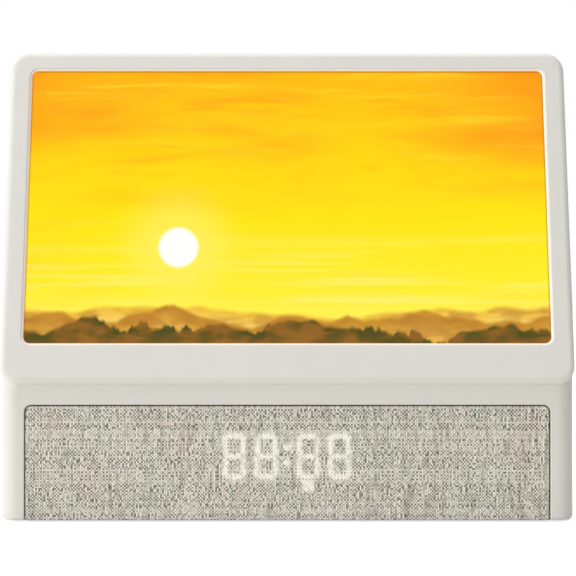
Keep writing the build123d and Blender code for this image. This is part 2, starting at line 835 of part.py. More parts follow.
def make_digit_block():
    """The dark block with a well for every segment."""
    body = block(span(0, digit_block_width), (digit_front, digit_back), (digit_block_low, digit_block_top))
    for shape in digit_faces():
        body -= through_display(shape, digit_front - 1, digit_front + segment_depth)
    return body


def make_segments():
    """The milky segments that fill the wells and light up."""
    floor = digit_front + segment_depth
    return Compound(children=[through_display(shape, digit_front, floor) for shape in digit_faces()])


def make_grille_screws():
    group = []
    for x in grille_screw_places:
        seat = Plane((x, flange_back, grille_boss_height), x_dir=(1, 0, 0), z_dir=(0, -1, 0))
        length = flange_back - base_front - floor_skin
        group.append(seat * screw(pilot_radius, length, grille_screw_head, board_screw_head_height))
    return Compound(children=group)


pieces["fabric_panel"] = raised_panel(0, base_front, wall_back) - raised_panel(
    cloth_thickness, grille_front, wall_back + 1
)
pieces["grille_frame"] = make_grille()
pieces["grille_screws"] = make_grille_screws()
pieces["digit_block"] = make_digit_block()
pieces["digit_segments"] = make_segments()
pieces["display_board"] = block(
    (-board_half, board_half),
    (digit_back, display_back),
    (digit_block_low, digit_block_top + display_board_margin),
)


# ---------------------------------------------------------------- loudspeakers

driver_front = flange_back
rim_back = driver_front + speaker_rim
basket_back = rim_back + basket_depth
magnet_back = basket_back + magnet_depth
chamber_back = flange_back + chamber_depth


def ring_y(outer_radius, inner_radius, x, z, front, rear):
    return rod_y(outer_radius, x, z, front, rear) - rod_y(inner_radius, x, z, front - 1, rear + 1)


def turned(points, x):
    """A solid turned about a loudspeaker's axis from its radius and depth points."""
    profile = make_face(Polyline(*points, close=True))
    body = revolve(Plane((0, 0, 0), x_dir=(1, 0, 0), z_dir=(0, 0, 1)) * profile, Axis.Y)
    return body.moved(Pos(x, 0, speaker_axis))


def make_speaker(name, x):
    """One loudspeaker: basket, ring magnet, surround, and the cone with its voice coil."""
    opening = cone_radius + surround_width
    frame_points = [
        (opening, driver_front),
        (speaker_radius, driver_front),
        (speaker_radius, rim_back),
        (magnet_radius, basket_back),
        (coil_radius + coil_room, basket_back),
        (coil_radius + coil_room, basket_back - speaker_rim),
        (magnet_radius - speaker_rim, basket_back - speaker_rim),
        (opening, rim_back),
    ]
    pieces["speaker_basket_" + name] = turned(frame_points, x)
    magnet = rod_y(magnet_radius, x, speaker_axis, basket_back, magnet_back)
    gap_outer = coil_radius + fit_gap
    gap_inner = coil_radius - cone_thickness - fit_gap
    groove = ring_y(gap_outer, gap_inner, x, speaker_axis, basket_back - 1, basket_back + coil_length)
    pieces["speaker_magnet_" + name] = magnet - groove
    cone_front = driver_front + speaker_rim
    roll = [
        (cone_radius + fit_gap / 2, cone_front - cone_thickness),
        (opening, cone_front - cone_thickness),
        (opening, cone_front),
        (cone_radius + fit_gap / 2, cone_front),
    ]
    pieces["speaker_surround_" + name] = turned(roll, x)
    cone = [
        (cone_radius, cone_front - cone_thickness),
        (cone_radius, cone_front),
        (coil_radius, cone_front + cone_depth),
        (coil_radius, basket_back + coil_length / 2),
        (coil_radius - cone_thickness, basket_back + coil_length / 2),
        (coil_radius - cone_thickness, cone_front + cone_depth - cone_thickness),
        (0, cone_front + cone_depth - 2 * cone_thickness),
        (0, cone_front + cone_depth - 3 * cone_thickness),
        (coil_radius - cone_thickness, cone_front + cone_depth - 2 * cone_thickness),
    ]
    pieces["speaker_cone_" + name] = turned(cone, x)


def make_chamber(x):
    """The sealed box behind one loudspeaker."""
    box = block(span(x, chamber_width), (flange_back, chamber_back), (chamber_low, chamber_top))
    front = flange_back + chamber_wall
    box -= block(
        span(x, chamber_width - 2 * chamber_wall),
        (front, chamber_back - chamber_wall),
        (chamber_low + chamber_wall, chamber_top - chamber_wall),
    )
    return box - rod_y(speaker_radius + fit_gap, x, speaker_axis, flange_back - 1, front + 1)


for name, side in sides.items():
    make_speaker(name, side * speaker_offset)
    pieces["speaker_chamber_" + name] = make_chamber(side * speaker_offset)


# ---------------------------------------------------------------- main board, socket, slider


def make_main_board():
    board = block(span(board_offset, board_width), (board_front, board_back), (board_floor, board_top))
    for sx, sy in standoffs:
        board -= rod_z(board_screw_radius + fit_gap, sx, sy, board_floor - 1, board_top + 1)
    return board


def make_usb_socket():
    """A USB-C receptacle: a rounded steel shell with a tongue in it."""
    rear = back - usb_setback
    front = rear - usb_length
    socket = usb_outline(0, front, rear)
    socket -= usb_outline(-usb_shell, front + 3 * usb_shell, rear + 1)
    tongue = block(
        span(usb_offset, usb_tongue_width),
        (front + usb_shell, rear - usb_tongue_setback),
        span(usb_middle, usb_tongue_thickness),
    )
    return socket + tongue


def make_slider():
    """The slider's cap, ribbed for a fingernail, and the stem that reaches into its switch."""
    outside = back - slider_setback
    inside = back - wall - slider_inside
    cap = block(span(slider_offset, slider_width), (inside, outside), span(slider_middle, slider_height))
    for i in (-1, 0, 1):
        groove = span(slider_offset + i * slider_groove_pitch, slider_groove)
        cap -= block(groove, (outside - slider_groove, outside + 1), span(slider_middle, 2 * slider_height))
    stem_ends = (switch_back - switch_slot / 2, inside)
    return cap + block(span(slider_offset, slider_stem), stem_ends, span(slider_middle, slider_stem))


def make_switch_body():
    middle = slider_offset + slider_travel / 2
    room = slider_stem + 2 * slider_clearance
    depth = (switch_back - switch_depth, switch_back)
    body = block(span(middle, switch_length), depth, (board_top, board_top + switch_height))
    slot_depth = (switch_back - switch_slot, switch_back + 1)
    return body - block(span(middle, slider_travel + room), slot_depth, span(slider_middle, room))


def chip(column, row, size, height):
    """A square component on the main board, in a column counted from the board's middle."""
    across = span(board_offset + column * chip_pitch, size)
    return block(across, span(board_middle_y + row, size), (board_top, board_top + height))


def make_board_parts():
    """Processor, sound memory, amplifier, power coil and a row of capacitors."""
    processor = chip(-0.5, chip_row, processor_size, chip_height)
    sound_memory = chip(-1.5, chip_row, chip_size, chip_height)
    amplifier = chip(1.5, chip_row, chip_size, chip_height)
    power_coil = chip(2, -chip_row, power_coil_size, power_coil_height)
    group = [processor, sound_memory, amplifier, power_coil]
    for i in range(3):
        can_x = board_offset + i * capacitor_pitch
        can_top = board_top + capacitor_height
        can = rod_z(capacitor_radius, can_x, board_middle_y - chip_row, board_top, can_top)
        group.append(fillet(can.edges().sort_by(Axis.Z)[-1], capacitor_radius / 6))
    return Compound(children=group)


def make_main_board_screws():
    group = []
    for x, y in standoffs:
        driven = screw(board_screw_radius, board_screw_length, board_screw_head, board_screw_head_height)
        group.append(Pos(x, y, board_top) * Rot(180, 0, 0) * driven)
    return Compound(children=group)


switch_back = back - wall - slider_inside - fit_gap
pieces["main_board"] = make_main_board()
pieces["main_board_parts"] = make_board_parts()
pieces["main_board_screws"] = make_main_board_screws()
pieces["usb_socket"] = make_usb_socket()
pieces["alarm_switch"] = make_switch_body()
pieces["alarm_slider"] = make_slider()


# ---------------------------------------------------------------- top keys


def make_key(x, width):
    """A key cap with its retaining flange and its stem."""
    flange_low = key_flange_top - key_flange_thickness
    cap = plate_z(width, key_depth, key_corner, x, key_row, flange_low, key_top)
    cap = fillet(cap.faces().sort_by(Axis.Z)[-1].edges(), key_edge)
    flange_size = (width + 2 * key_flange, key_depth + 2 * key_flange, key_corner + key_flange)
    cap += plate_z(*flange_size, x, key_row, flange_low, key_flange_top)
    return cap + rod_z(key_stem_radius, x, key_row, plunger_top, flange_low + key_flange_thickness / 2)


def make_plunger(x):
    """The part of a switch that its key pushes."""
    return rod_z(plunger_radius, x, key_row, plunger_bore_floor + key_travel + plunger_clearance, plunger_top)


def make_switches():
    group = []
    switch_top = key_board_top + tact_height
    for x, width in keys.values():
        body = block(span(x, tact_size), span(key_row, tact_size), (key_board_top, switch_top))
        bore_radius = plunger_radius + plunger_clearance
        group.append(body - rod_z(bore_radius, x, key_row, plunger_bore_floor, switch_top + 1))
    return Compound(children=group)


def make_key_board():
    low = key_board_top - key_board_thickness
    board = plate_z(key_board_width, key_board_depth, key_board_corner, 0, key_row, low, key_board_top)
    for x in post_places:
        board -= rod_z(board_screw_radius + fit_gap, x, key_row, low - 1, key_board_top + 1)
    return board


def make_key_board_screws():
    group = []
    for x in post_places:
        driven = screw(board_screw_radius, board_screw_length, board_screw_head, board_screw_head_height)
        group.append(Pos(x, key_row, key_board_top - key_board_thickness) * driven)
    return Compound(children=group)


plunger_top = key_board_top + tact_height + plunger_rise
plunger_bore_floor = key_board_top + tact_height / 2
for name, (x, width) in keys.items():
    pieces[name] = make_key(x, width)
    pieces[name.replace("_key", "_plunger")] = make_plunger(x)
pieces["key_switches"] = make_switches()
pieces["key_board"] = make_key_board()
pieces["key_board_screws"] = make_key_board_screws()


# ---------------------------------------------------------------- cables and their plugs


def ribbon(x, width, thickness, points):
    """A flat cable that bends only in the YZ plane, along points of (Y, Z)."""
    strip = trace(Polyline(*points), thickness)
    return extrude(Plane.YZ.offset(x - width / 2) * strip, amount=width)


def plug(x, width, y, z):
    """A cable's plug, with its lowest corner at Y and Z."""
    return block(span(x, width + 2 * plug_wall), (y, y + plug_depth), (z, z + plug_height))


def face_point(along, depth):
    """The Y and Z of a point below the leaning face."""
    point = face.origin + face.y_dir * along - face.z_dir * depth
    return (point.Y, point.Z)


def lead(path):
    """A round loudspeaker lead along a smooth path."""
    start = Plane(path @ 0, z_dir=path % 0)
    return sweep(start * Circle(lead_radius), path)


plug_top = board_top + plug_height
key_ribbon_x = board_left + lead_plug_inset
lamp_plug_along = window_middle - tray_back_height / 2 + lamp_plug_inset
front_plug_y = board_front + fit_gap
lamp_lead_end = face_point(lamp_plug_along, lamp_board_back + plug_height + ribbon_thickness / 2)
lead_exit = speaker_axis + lead_rise

lamp_plug = face.offset(-lamp_board_back - plug_height) * Pos(lamp_plug_x, lamp_plug_along, plug_height / 2)
lamp_plug = lamp_plug * Box(ribbon_width + 2 * plug_wall, plug_depth, plug_height)
key_plug_z = key_board_top - key_board_thickness - plug_height
plugs = [
    plug(key_ribbon_x, ribbon_width, key_row - plug_depth / 2, key_plug_z),
    plug(key_ribbon_x, ribbon_width, key_row - plug_depth / 2, board_top),
    lamp_plug,
    plug(lamp_plug_x, ribbon_width, front_plug_y, board_top),
    plug(0, ribbon_width, display_back, display_middle - plug_height / 2),
    plug(0, ribbon_width, front_plug_y, board_top),
]
key_ribbon_route = [(key_row, plug_top), (key_row, key_plug_z)]
pieces["key_ribbon"] = ribbon(key_ribbon_x, ribbon_width, ribbon_thickness, key_ribbon_route)
pieces["lamp_ribbon"] = ribbon(
    lamp_plug_x,
    ribbon_width,
    ribbon_thickness,
    [
        lamp_lead_end,
        (lamp_lead_end[0] + ribbon_slack, lamp_lead_end[1] - ribbon_slack),
        (front_plug_y + plug_depth / 2, plug_top + 2 * ribbon_slack),
        (front_plug_y + plug_depth / 2, plug_top),
    ],
)
pieces["display_ribbon"] = ribbon(
    0,
    ribbon_width,
    ribbon_thickness,
    [
        (display_back + plug_depth, display_middle),
        (display_back + plug_depth + ribbon_slack, display_middle),
        (front_plug_y + plug_depth / 2, plug_top + ribbon_slack / 2),
        (front_plug_y + plug_depth / 2, plug_top),
    ],
)
for name, side in sides.items():
    plug_x = board_offset + side * (board_width / 2 - lead_plug_inset)
    exit_x = side * (chamber_inner + lead_exit_inset)
    plugs.append(plug(plug_x, lead_plug_width, front_plug_y, board_top))
    lead_ends = [(exit_x, chamber_back, lead_exit), (plug_x, front_plug_y + plug_depth / 2, plug_top)]
    directions = [(0, lead_slack, 0), (0, 0, -lead_slack)]
    pieces["speaker_lead_" + name] = lead(Spline(*lead_ends, tangents=directions))
pieces["cable_plugs"] = Compound(children=plugs)


# ---------------------------------------------------------------- write the pieces

os.makedirs("parts", exist_ok=True)
for name, shape in pieces.items():
    shape.label = name
    export_step(shape, "parts/" + name + ".step")
print(len(pieces), "pieces")
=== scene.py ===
import math

import bpy
import numpy as np
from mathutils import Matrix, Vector


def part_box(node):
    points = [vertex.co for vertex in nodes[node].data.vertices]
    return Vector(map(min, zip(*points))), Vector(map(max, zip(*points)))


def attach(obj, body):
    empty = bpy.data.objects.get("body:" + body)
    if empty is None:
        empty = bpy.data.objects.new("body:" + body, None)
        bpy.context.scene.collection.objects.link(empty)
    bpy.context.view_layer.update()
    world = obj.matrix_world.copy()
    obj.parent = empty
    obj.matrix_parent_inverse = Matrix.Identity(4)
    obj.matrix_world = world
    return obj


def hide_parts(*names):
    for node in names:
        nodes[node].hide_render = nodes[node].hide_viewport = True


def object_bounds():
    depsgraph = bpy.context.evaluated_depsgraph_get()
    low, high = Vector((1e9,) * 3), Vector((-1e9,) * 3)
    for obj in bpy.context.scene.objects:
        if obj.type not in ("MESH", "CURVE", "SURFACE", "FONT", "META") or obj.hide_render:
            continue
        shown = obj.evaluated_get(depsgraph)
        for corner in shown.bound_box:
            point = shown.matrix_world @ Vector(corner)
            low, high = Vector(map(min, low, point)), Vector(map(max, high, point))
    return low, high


# The looks of a sunrise alarm clock: a leaning ABS frame around a lit picture, over a base with
# a cloth front that a clock display shines through. Metres, front towards -Y, +Z up.

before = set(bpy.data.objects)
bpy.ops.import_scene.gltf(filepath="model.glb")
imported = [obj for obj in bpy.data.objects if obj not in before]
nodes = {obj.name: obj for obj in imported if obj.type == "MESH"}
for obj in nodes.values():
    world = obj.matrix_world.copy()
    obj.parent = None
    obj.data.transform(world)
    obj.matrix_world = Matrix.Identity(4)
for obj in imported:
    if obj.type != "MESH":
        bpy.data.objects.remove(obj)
cad_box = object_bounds()
mm = 0.001
scene = bpy.context.scene
rng = np.random.default_rng(7)


# ---------------------------------------------------------------- small helpers


def linear(hex_colour):
    """An sRGB hex colour as linear red, green, blue and alpha."""
    channels = [int(hex_colour[i:i + 2], 16) / 255 for i in (1, 3, 5)]
    return (*[c / 12.92 if c <= 0.04045 else ((c + 0.055) / 1.055) ** 2.4 for c in channels], 1.0)


def add(tree, kind, *values, out=None, **named):
    """Adds one node and gives one of its outputs, the first or the one named by out.

    Values fill its inputs in order. Named ones are inputs where the name has a capital, and
    settings where it has none. Outputs of other nodes are linked, and hex colours made linear.
    """
    node = tree.nodes.new("ShaderNode" + kind)
    for name, value in named.items():
        if name.islower():
            setattr(node, name, value)
    filled = list(zip([socket for socket in node.inputs if socket.enabled], values))
    filled += [(node.inputs[name.replace("_", " ")], named[name]) for name in named if not name.islower()]
    for socket, value in filled:
        if isinstance(value, bpy.types.NodeSocket):
            tree.links.new(value, socket)
        else:
            socket.default_value = linear(value) if isinstance(value, str) else value
    return next((socket for socket in node.outputs if socket.enabled and out in (None, socket.name)), None)


def new_material(name):
    """A new material and its empty node tree."""
    made = bpy.data.materials.new(name)
    made.use_nodes = True
    made.node_tree.nodes.clear()
    return made, made.node_tree


def finished(made, **inputs):
    """Gives a material its shader, with the finish's values on the sockets."""
    tree = made.node_tree
    add(tree, "OutputMaterial", add(tree, "BsdfPrincipled", **inputs))
    return made


def grain(tree, size, detail=2.0, stretch=(1, 1, 1), rough=0.5, twist=0.0):
    """Noise whose grains are about one size, stretched along the axes, in the piece's own space."""
    place = add(tree, "TexCoord", out="Object")
    place = add(tree, "Mapping", place, Scale=tuple(1 / (size * s) for s in stretch))
    return add(tree, "TexNoise", place, Scale=1.0, Detail=detail, Roughness=rough, Distortion=twist)


def wandering_colour(tree, noise, first, second):
    """A colour that goes from one to the other in soft patches."""
    patches = add(tree, "MapRange", noise, 0.35, 0.65, interpolation_type="SMOOTHSTEP")
    return add(tree, "Mix", patches, first, second, data_type="RGBA")


def wandering_gloss(tree, noise, low, high):
    """A roughness that goes from low to high with the noise."""
    return add(tree, "MapRange", noise, 0.3, 0.7, low, high)


# ---------------------------------------------------------------- finishes

# The real grains of moulds and plating, 0.05 to 0.15 mm, are too fine to show, so they are drawn
# 0.3 to 0.6 mm coarse.


def moulded_abs(name, colour, shade, grit, depth, roughness):
    """ABS moulded in a spark-eroded tool: an even matte grain that spreads the highlights."""
    made, tree = new_material(name)
    speck = grain(tree, grit, 3, rough=0.6)
    return finished(
        made,
        Base_Color=wandering_colour(tree, grain(tree, 9 * mm, 3), colour, shade),
        Roughness=wandering_gloss(tree, speck, roughness - 0.06, roughness + 0.06),
        Specular_IOR_Level=0.4,
        Normal=add(tree, "Bump", Height=speck, Distance=depth),
    )


def clear_acrylic():
    """Cast acrylic with an anti-reflection coat: clear, with hardly any gloss."""
    made, tree = new_material("acrylic_clear_coated")
    coat = 0.07  # what the coat leaves of the gloss
    return finished(
        made,
        Base_Color="#FFFFFF",
        Roughness=wandering_gloss(tree, grain(tree, 6 * mm), 0.04, 0.09),
        Transmission_Weight=1.0,
        IOR=1.49,
        Specular_IOR_Level=0.05,
        Specular_Tint=(coat, coat, coat, 1.0),
    )


def opal_acrylic():
    """Opal acrylic: milky, so it spreads the lamp's light."""
    made, tree = new_material("acrylic_opal")
    return finished(
        made,
        Base_Color=wandering_colour(tree, grain(tree, 5 * mm), "#FFF6E0", "#FFF1D2"),
        Roughness=0.35,
        Subsurface_Weight=0.4,
        Subsurface_Radius=(2 * mm, 2 * mm, 1.5 * mm),
    )


def white_polycarbonate():
    """Moulded white polycarbonate with a little gloss, which throws the lamp's light forward."""
    made, tree = new_material("polycarbonate_white")
    speck = grain(tree, 0.6 * mm)
    return finished(
        made,
        Base_Color="#F4F3EE",
        Roughness=wandering_gloss(tree, speck, 0.22, 0.34),
        Normal=add(tree, "Bump", Height=speck, Distance=0.01 * mm),
    )


def fine_grained(name, colour, roughness):
    """A dark part with a light, even grain: moulded plastic, cast epoxy or pressed paper pulp."""
    made, tree = new_material(name)
    speck = grain(tree, 0.5 * mm, 3)
    return finished(
        made,
        Base_Color=colour,
        Roughness=wandering_gloss(tree, speck, roughness - 0.08, roughness + 0.08),
        Normal=add(tree, "Bump", Height=speck, Distance=0.02 * mm),
    )


def circuit_board(name, colour, track):
    """Glass-epoxy board under solder mask: satin, with slightly paler copper tracks showing through."""
    made, tree = new_material(name)
    place = add(tree, "TexCoord", out="Object")
    cells = add(tree, "TexVoronoi", place, Scale=1 / (2.2 * mm), distance="MANHATTAN", feature="F2")
    rings = add(tree, "Math", add(tree, "Math", cells, 3.0, operation="MULTIPLY"), operation="FRACT")
    tracks = add(tree, "Math", rings, 0.6, operation="GREATER_THAN")
    return finished(
        made,
        Base_Color=add(tree, "Mix", tracks, colour, track, data_type="RGBA"),
        Roughness=0.32,
        Normal=add(tree, "Bump", Height=tracks, Distance=0.03 * mm),
    )


def metal(name, colour, roughness):
    """Plated or pressed metal: a bright mirror with fine specks from its making."""
    made, tree = new_material(name)
    speck = grain(tree, 0.3 * mm, 4)
    return finished(
        made,
        Base_Color=colour,
        Metallic=1.0,
        Roughness=wandering_gloss(tree, speck, roughness - 0.07, roughness + 0.1),
        Normal=add(tree, "Bump", Height=speck, Distance=0.01 * mm),
    )


def glowing(name, colour, strength):
    """A milky epoxy part lit from inside."""
    made, tree = new_material(name)
    return finished(
        made,
        Base_Color=colour,
        Roughness=0.4,
        Emission_Color=add(tree, "Mix", grain(tree, 1.5 * mm), colour, "#FFFFFF", data_type="RGBA"),
        Emission_Strength=strength,
    )


def rubber(name, colour):
    """Moulded silicone rubber: dark and soft, with a dusty grain."""
    made, tree = new_material(name)
    speck = grain(tree, 0.35 * mm, 4)
    return finished(
        made,
        Base_Color=wandering_colour(tree, speck, colour, "#4A4845"),
        Roughness=0.75,
        Normal=add(tree, "Bump", Height=speck, Distance=0.03 * mm),
    )


def pad_ink(colour):
    """Pad-printed ink: a thin matte film, thicker in places."""
    made, tree = new_material("ink_pad_printed")
    return finished(
        made, Base_Color=wandering_colour(tree, grain(tree, 0.4 * mm), colour, "#94918A"), Roughness=0.6,
    )


def ribbed_cable(colour, shade):
    """Flat PVC cable: wires side by side raise soft ribs along it, with painted shade in the grooves
    between them.
    """
    made, tree = new_material("pvc_ribbon")
    wire_pitch = 1.27 * mm
    place = add(tree, "SeparateXYZ", add(tree, "TexCoord", out="Object"), out="X")
    turns = add(tree, "Math", place, 2 * math.pi / wire_pitch, operation="MULTIPLY")
    ribs = add(tree, "Math", turns, operation="SINE")
    # painted shade: darker in the grooves between the ribs, paler on their backs
    rib_shading = add(tree, "MapRange", ribs, -1, 1, interpolation_type="SMOOTHSTEP")
    return finished(
        made,
        Base_Color=add(tree, "Mix", rib_shading, shade, colour, data_type="RGBA"),
        Roughness=0.45,
        Normal=add(tree, "Bump", Height=ribs, Distance=0.15 * mm),
    )


# ---------------------------------------------------------------- the lit picture

film_low, film_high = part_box("picture_film")
face_lean = math.radians(15)
face_normal = (0, -math.cos(face_lean), math.sin(face_lean))
sheet_overlap = 3.0 * mm  # how far the sheets reach behind the frame
picture_width = film_high.x - film_low.x - 2 * sheet_overlap
picture_foot = film_low.z + sheet_overlap * math.cos(face_lean)
picture_rise = film_high.z - film_low.z - 2 * sheet_overlap * math.cos(face_lean)
picture_middle = picture_foot + picture_rise / 2
edge_shade = 0.55 * mm  # how far in the frame's edge shades the lamp
lip_reach = 1.5 * mm  # how far the bevel lies outside the picture's edge

sky_bands = [
    # share of the picture's height, colour
    (0.0, "#FDF284"), (0.10, "#FDEE50"), (0.2, "#FEEB2C"), (0.45, "#FEE30C"),
    (0.66, "#FED608"), (0.86, "#FEC808"), (1.0, "#FEB808"),
]
cloud_streaks = [
    # size, stretch, twist, noise where a streak starts and is full, strength, colour
    (16 * mm, (3.6, 1, 0.40), 0.5, 0.48, 0.70, 0.70, "#FCA00C"),
    (8 * mm, (3.2, 1, 0.36), 0.9, 0.53, 0.70, 0.50, "#F68E10"),
    (10 * mm, (4.2, 1, 0.28), 0.6, 0.52, 0.72, 0.50, "#FFE23C"),
    (3.5 * mm, (3.4, 1, 0.36), 1.2, 0.55, 0.75, 0.35, "#F99A1C"),
]
sun_x, sun_rise, sun_radius = -34 * mm, 30 * mm, 6.2 * mm
sun_halo = 3.6 * sun_radius
ridges = [
    # foot and swell as shares of the picture's height, spacing, seed, colour at the crest,
    # colour lower down, height of the trees and softness of the outline as shares too
    (0.095, 0.075, 58 * mm, 5.3, "#F0BE3E", "#F8DC78", 0.0, 0.012),
    (0.058, 0.100, 40 * mm, 8.6, "#C48A2A", "#E3B04A", 0.012, 0.010),
    (0.012, 0.125, 33 * mm, 21.2, "#4B4A1C", "#7B5B22", 0.040, 0.008),
]
ridge_noise_low, ridge_noise_gain = 0.36, 2.2  # bring the noise to about 0 to 1


def dawn_sky(tree, x, z, up):
    """Yellow over the horizon to orange above, with streaks of high cloud and a white sun."""
    sky = add(tree, "ValToRGB", up)
    bands = sky.node.color_ramp.elements
    while len(bands) < len(sky_bands):
        bands.new(1.0)
    for band, (place, colour) in zip(bands, sky_bands):
        band.position = place
        band.color = linear(colour)

    # warmer in the upper corners, and in wide drifts
    across = add(tree, "Math", x, 1 / picture_width, 0.04, operation="MULTIPLY_ADD")
    aside = add(tree, "Math", add(tree, "Math", across, operation="ABSOLUTE"), 2.0, operation="POWER")
    height = add(tree, "Math", add(tree, "Math", up, 0.0, operation="MAXIMUM"), 2.0, operation="POWER")
    corners = add(tree, "Math", aside, height, operation="MULTIPLY")
    drift = add(tree, "Math", grain(tree, 60 * mm, 3, (1.3, 1, 0.35)), 0.5, operation="SUBTRACT")
    drift = add(tree, "Math", drift, 1.3, operation="MULTIPLY")
    warmth = add(tree, "Math", corners, 2.9, drift, operation="MULTIPLY_ADD")
    warmth = add(tree, "MapRange", warmth, 0.0, 1.0, 0.0, 0.85, interpolation_type="SMOOTHSTEP")
    sky = add(tree, "Mix", warmth, sky, "#FB8412", data_type="RGBA")

    high_up = add(tree, "MapRange", up, 0.3, 0.95, interpolation_type="SMOOTHSTEP")
    for size, stretch, twist, start, full, strength, colour in cloud_streaks:
        noise = grain(tree, size, 7, stretch, 0.62, twist)
        streak = add(tree, "MapRange", noise, start, full, 0.0, strength, interpolation_type="SMOOTHSTEP")
        veil = add(tree, "Math", streak, high_up, operation="MULTIPLY")
        sky = add(tree, "Mix", veil, sky, colour, data_type="RGBA")

    noise = grain(tree, 12 * mm, 4, (5, 1, 0.2))
    haze = add(tree, "MapRange", noise, 0.45, 0.7, 0.0, 0.22, interpolation_type="SMOOTHSTEP")
    low_down = add(tree, "MapRange", up, 0.5, 0.15, interpolation_type="SMOOTHSTEP")
    haze = add(tree, "Math", haze, low_down, operation="MULTIPLY")
    sky = add(tree, "Mix", haze, sky, "#FFF7B4", data_type="RGBA")

    dx = add(tree, "Math", x, sun_x, operation="SUBTRACT")
    dz = add(tree, "Math", z, picture_foot + sun_rise, operation="SUBTRACT")
    off_sun = add(tree, "VectorMath", add(tree, "CombineXYZ", dx, dz), operation="LENGTH")
    halo = add(tree, "MapRange", off_sun, sun_halo, sun_radius, 0.0, 0.5, interpolation_type="SMOOTHSTEP")
    sky = add(tree, "Mix", halo, sky, "#FFF06C", data_type="RGBA")
    rim_out, rim_in = sun_radius + 0.7 * mm, sun_radius - 0.9 * mm
    sun = add(tree, "MapRange", off_sun, rim_out, rim_in, interpolation_type="SMOOTHSTEP")
    return add(tree, "Mix", sun, sky, "#FFFFF8", data_type="RGBA")


def tree_line(tree, x, seed, height):
    """How far a wood's tops stand over a ridge: uneven crowns, in groups."""
    leaves = add(tree, "Math", grain(tree, 0.9 * mm, 3), 0.5, operation="SUBTRACT")
    tops = add(tree, "Math", leaves, 0.5, operation="MULTIPLY")
    for pitch, share in ((4.2 * mm, 0.62), (1.7 * mm, 0.38)):
        spot = add(tree, "Math", x, 1 / pitch, seed, operation="MULTIPLY_ADD")
        cell = add(tree, "TexVoronoi", W=spot, Scale=1.0, Randomness=1.0, voronoi_dimensions="1D")
        tall = add(tree, "SeparateColor", cell.node.outputs["Color"])
        fall = add(tree, "Math", add(tree, "Math", cell, 1.9, operation="MULTIPLY"), 2.0, operation="POWER")
        crown = add(tree, "Math", 1.0, fall, operation="SUBTRACT")
        crown = add(tree, "Math", crown, 0.0, operation="MAXIMUM")
        tall = add(tree, "Math", tall, share, operation="MULTIPLY")
        tops = add(tree, "Math", crown, tall, tops, operation="MULTIPLY_ADD")
    noise = grain(tree, 26 * mm, 1)
    grouped = add(tree, "MapRange", noise, 0.42, 0.58, 0.0, height, interpolation_type="SMOOTHSTEP")
    return add(tree, "Math", tops, grouped, operation="MULTIPLY")


def with_ridge(tree, picture, x, up, ridge):
    """One row of hills drawn over what is there so far."""
    foot, swell, spacing, seed, crest_colour, low_colour, trees, softness = ridge
    along = add(tree, "Math", x, 1 / spacing, seed, operation="MULTIPLY_ADD")
    hills = add(tree, "TexNoise", W=along, Scale=1.0, Detail=3.0, noise_dimensions="1D")
    gain = swell * ridge_noise_gain
    top = add(tree, "Math", hills, gain, foot - ridge_noise_low * gain, operation="MULTIPLY_ADD")
    if trees:
        top = add(tree, "Math", top, tree_line(tree, x, seed, trees), operation="ADD")
    under = add(tree, "Math", top, up, operation="SUBTRACT")
    lower_down = add(tree, "MapRange", under, 0.0, 0.09, interpolation_type="SMOOTHSTEP")
    body = add(tree, "Mix", lower_down, crest_colour, low_colour, data_type="RGBA")
    noise = grain(tree, 5 * mm, 5, (1.6, 1, 0.7))
    slopes = add(tree, "MapRange", noise, 0.42, 0.62, 0.0, 0.5, interpolation_type="SMOOTHSTEP")
    body = add(tree, "Mix", slopes, body, "#B0702A", data_type="RGBA")
    covered = add(tree, "MapRange", under, -softness, softness, interpolation_type="SMOOTHSTEP")
    return add(tree, "Mix", covered, picture, body, data_type="RGBA")


def picture_print():
    """Printed film lit from behind: a dawn over wooded hills, in inks that the lamp makes glow."""
    made, tree = new_material("film_printed_dawn")
    place = add(tree, "SeparateXYZ", add(tree, "TexCoord", out="Object")).node.outputs
    x, z = place["X"], place["Z"]
    above_foot = add(tree, "Math", z, picture_foot, operation="SUBTRACT")
    up = add(tree, "Math", above_foot, picture_rise, operation="DIVIDE")
    picture = dawn_sky(tree, x, z, up)
    for ridge in ridges:
        picture = with_ridge(tree, picture, x, up, ridge)

    # the print darkens a little where the frame's edge shades the lamp
    off_middle = add(tree, "Math", z, picture_middle, operation="SUBTRACT")
    margins = [
        add(tree, "Math", half, add(tree, "Math", off, operation="ABSOLUTE"), operation="SUBTRACT")
        for half, off in ((picture_width / 2, x), (picture_rise / 2, off_middle))
    ]
    margin = add(tree, "Math", *margins, operation="MINIMUM")
    shade = add(tree, "MapRange", margin, edge_shade, 0.0, 0.0, 0.6, interpolation_type="SMOOTHSTEP")
    return finished(
        made,
        Base_Color="#0C0904",
        Roughness=0.6,
        Specular_IOR_Level=0.0,
        Emission_Color=add(tree, "Mix", shade, picture, "#A05A14", data_type="RGBA"),
        Emission_Strength=1.04,
    )


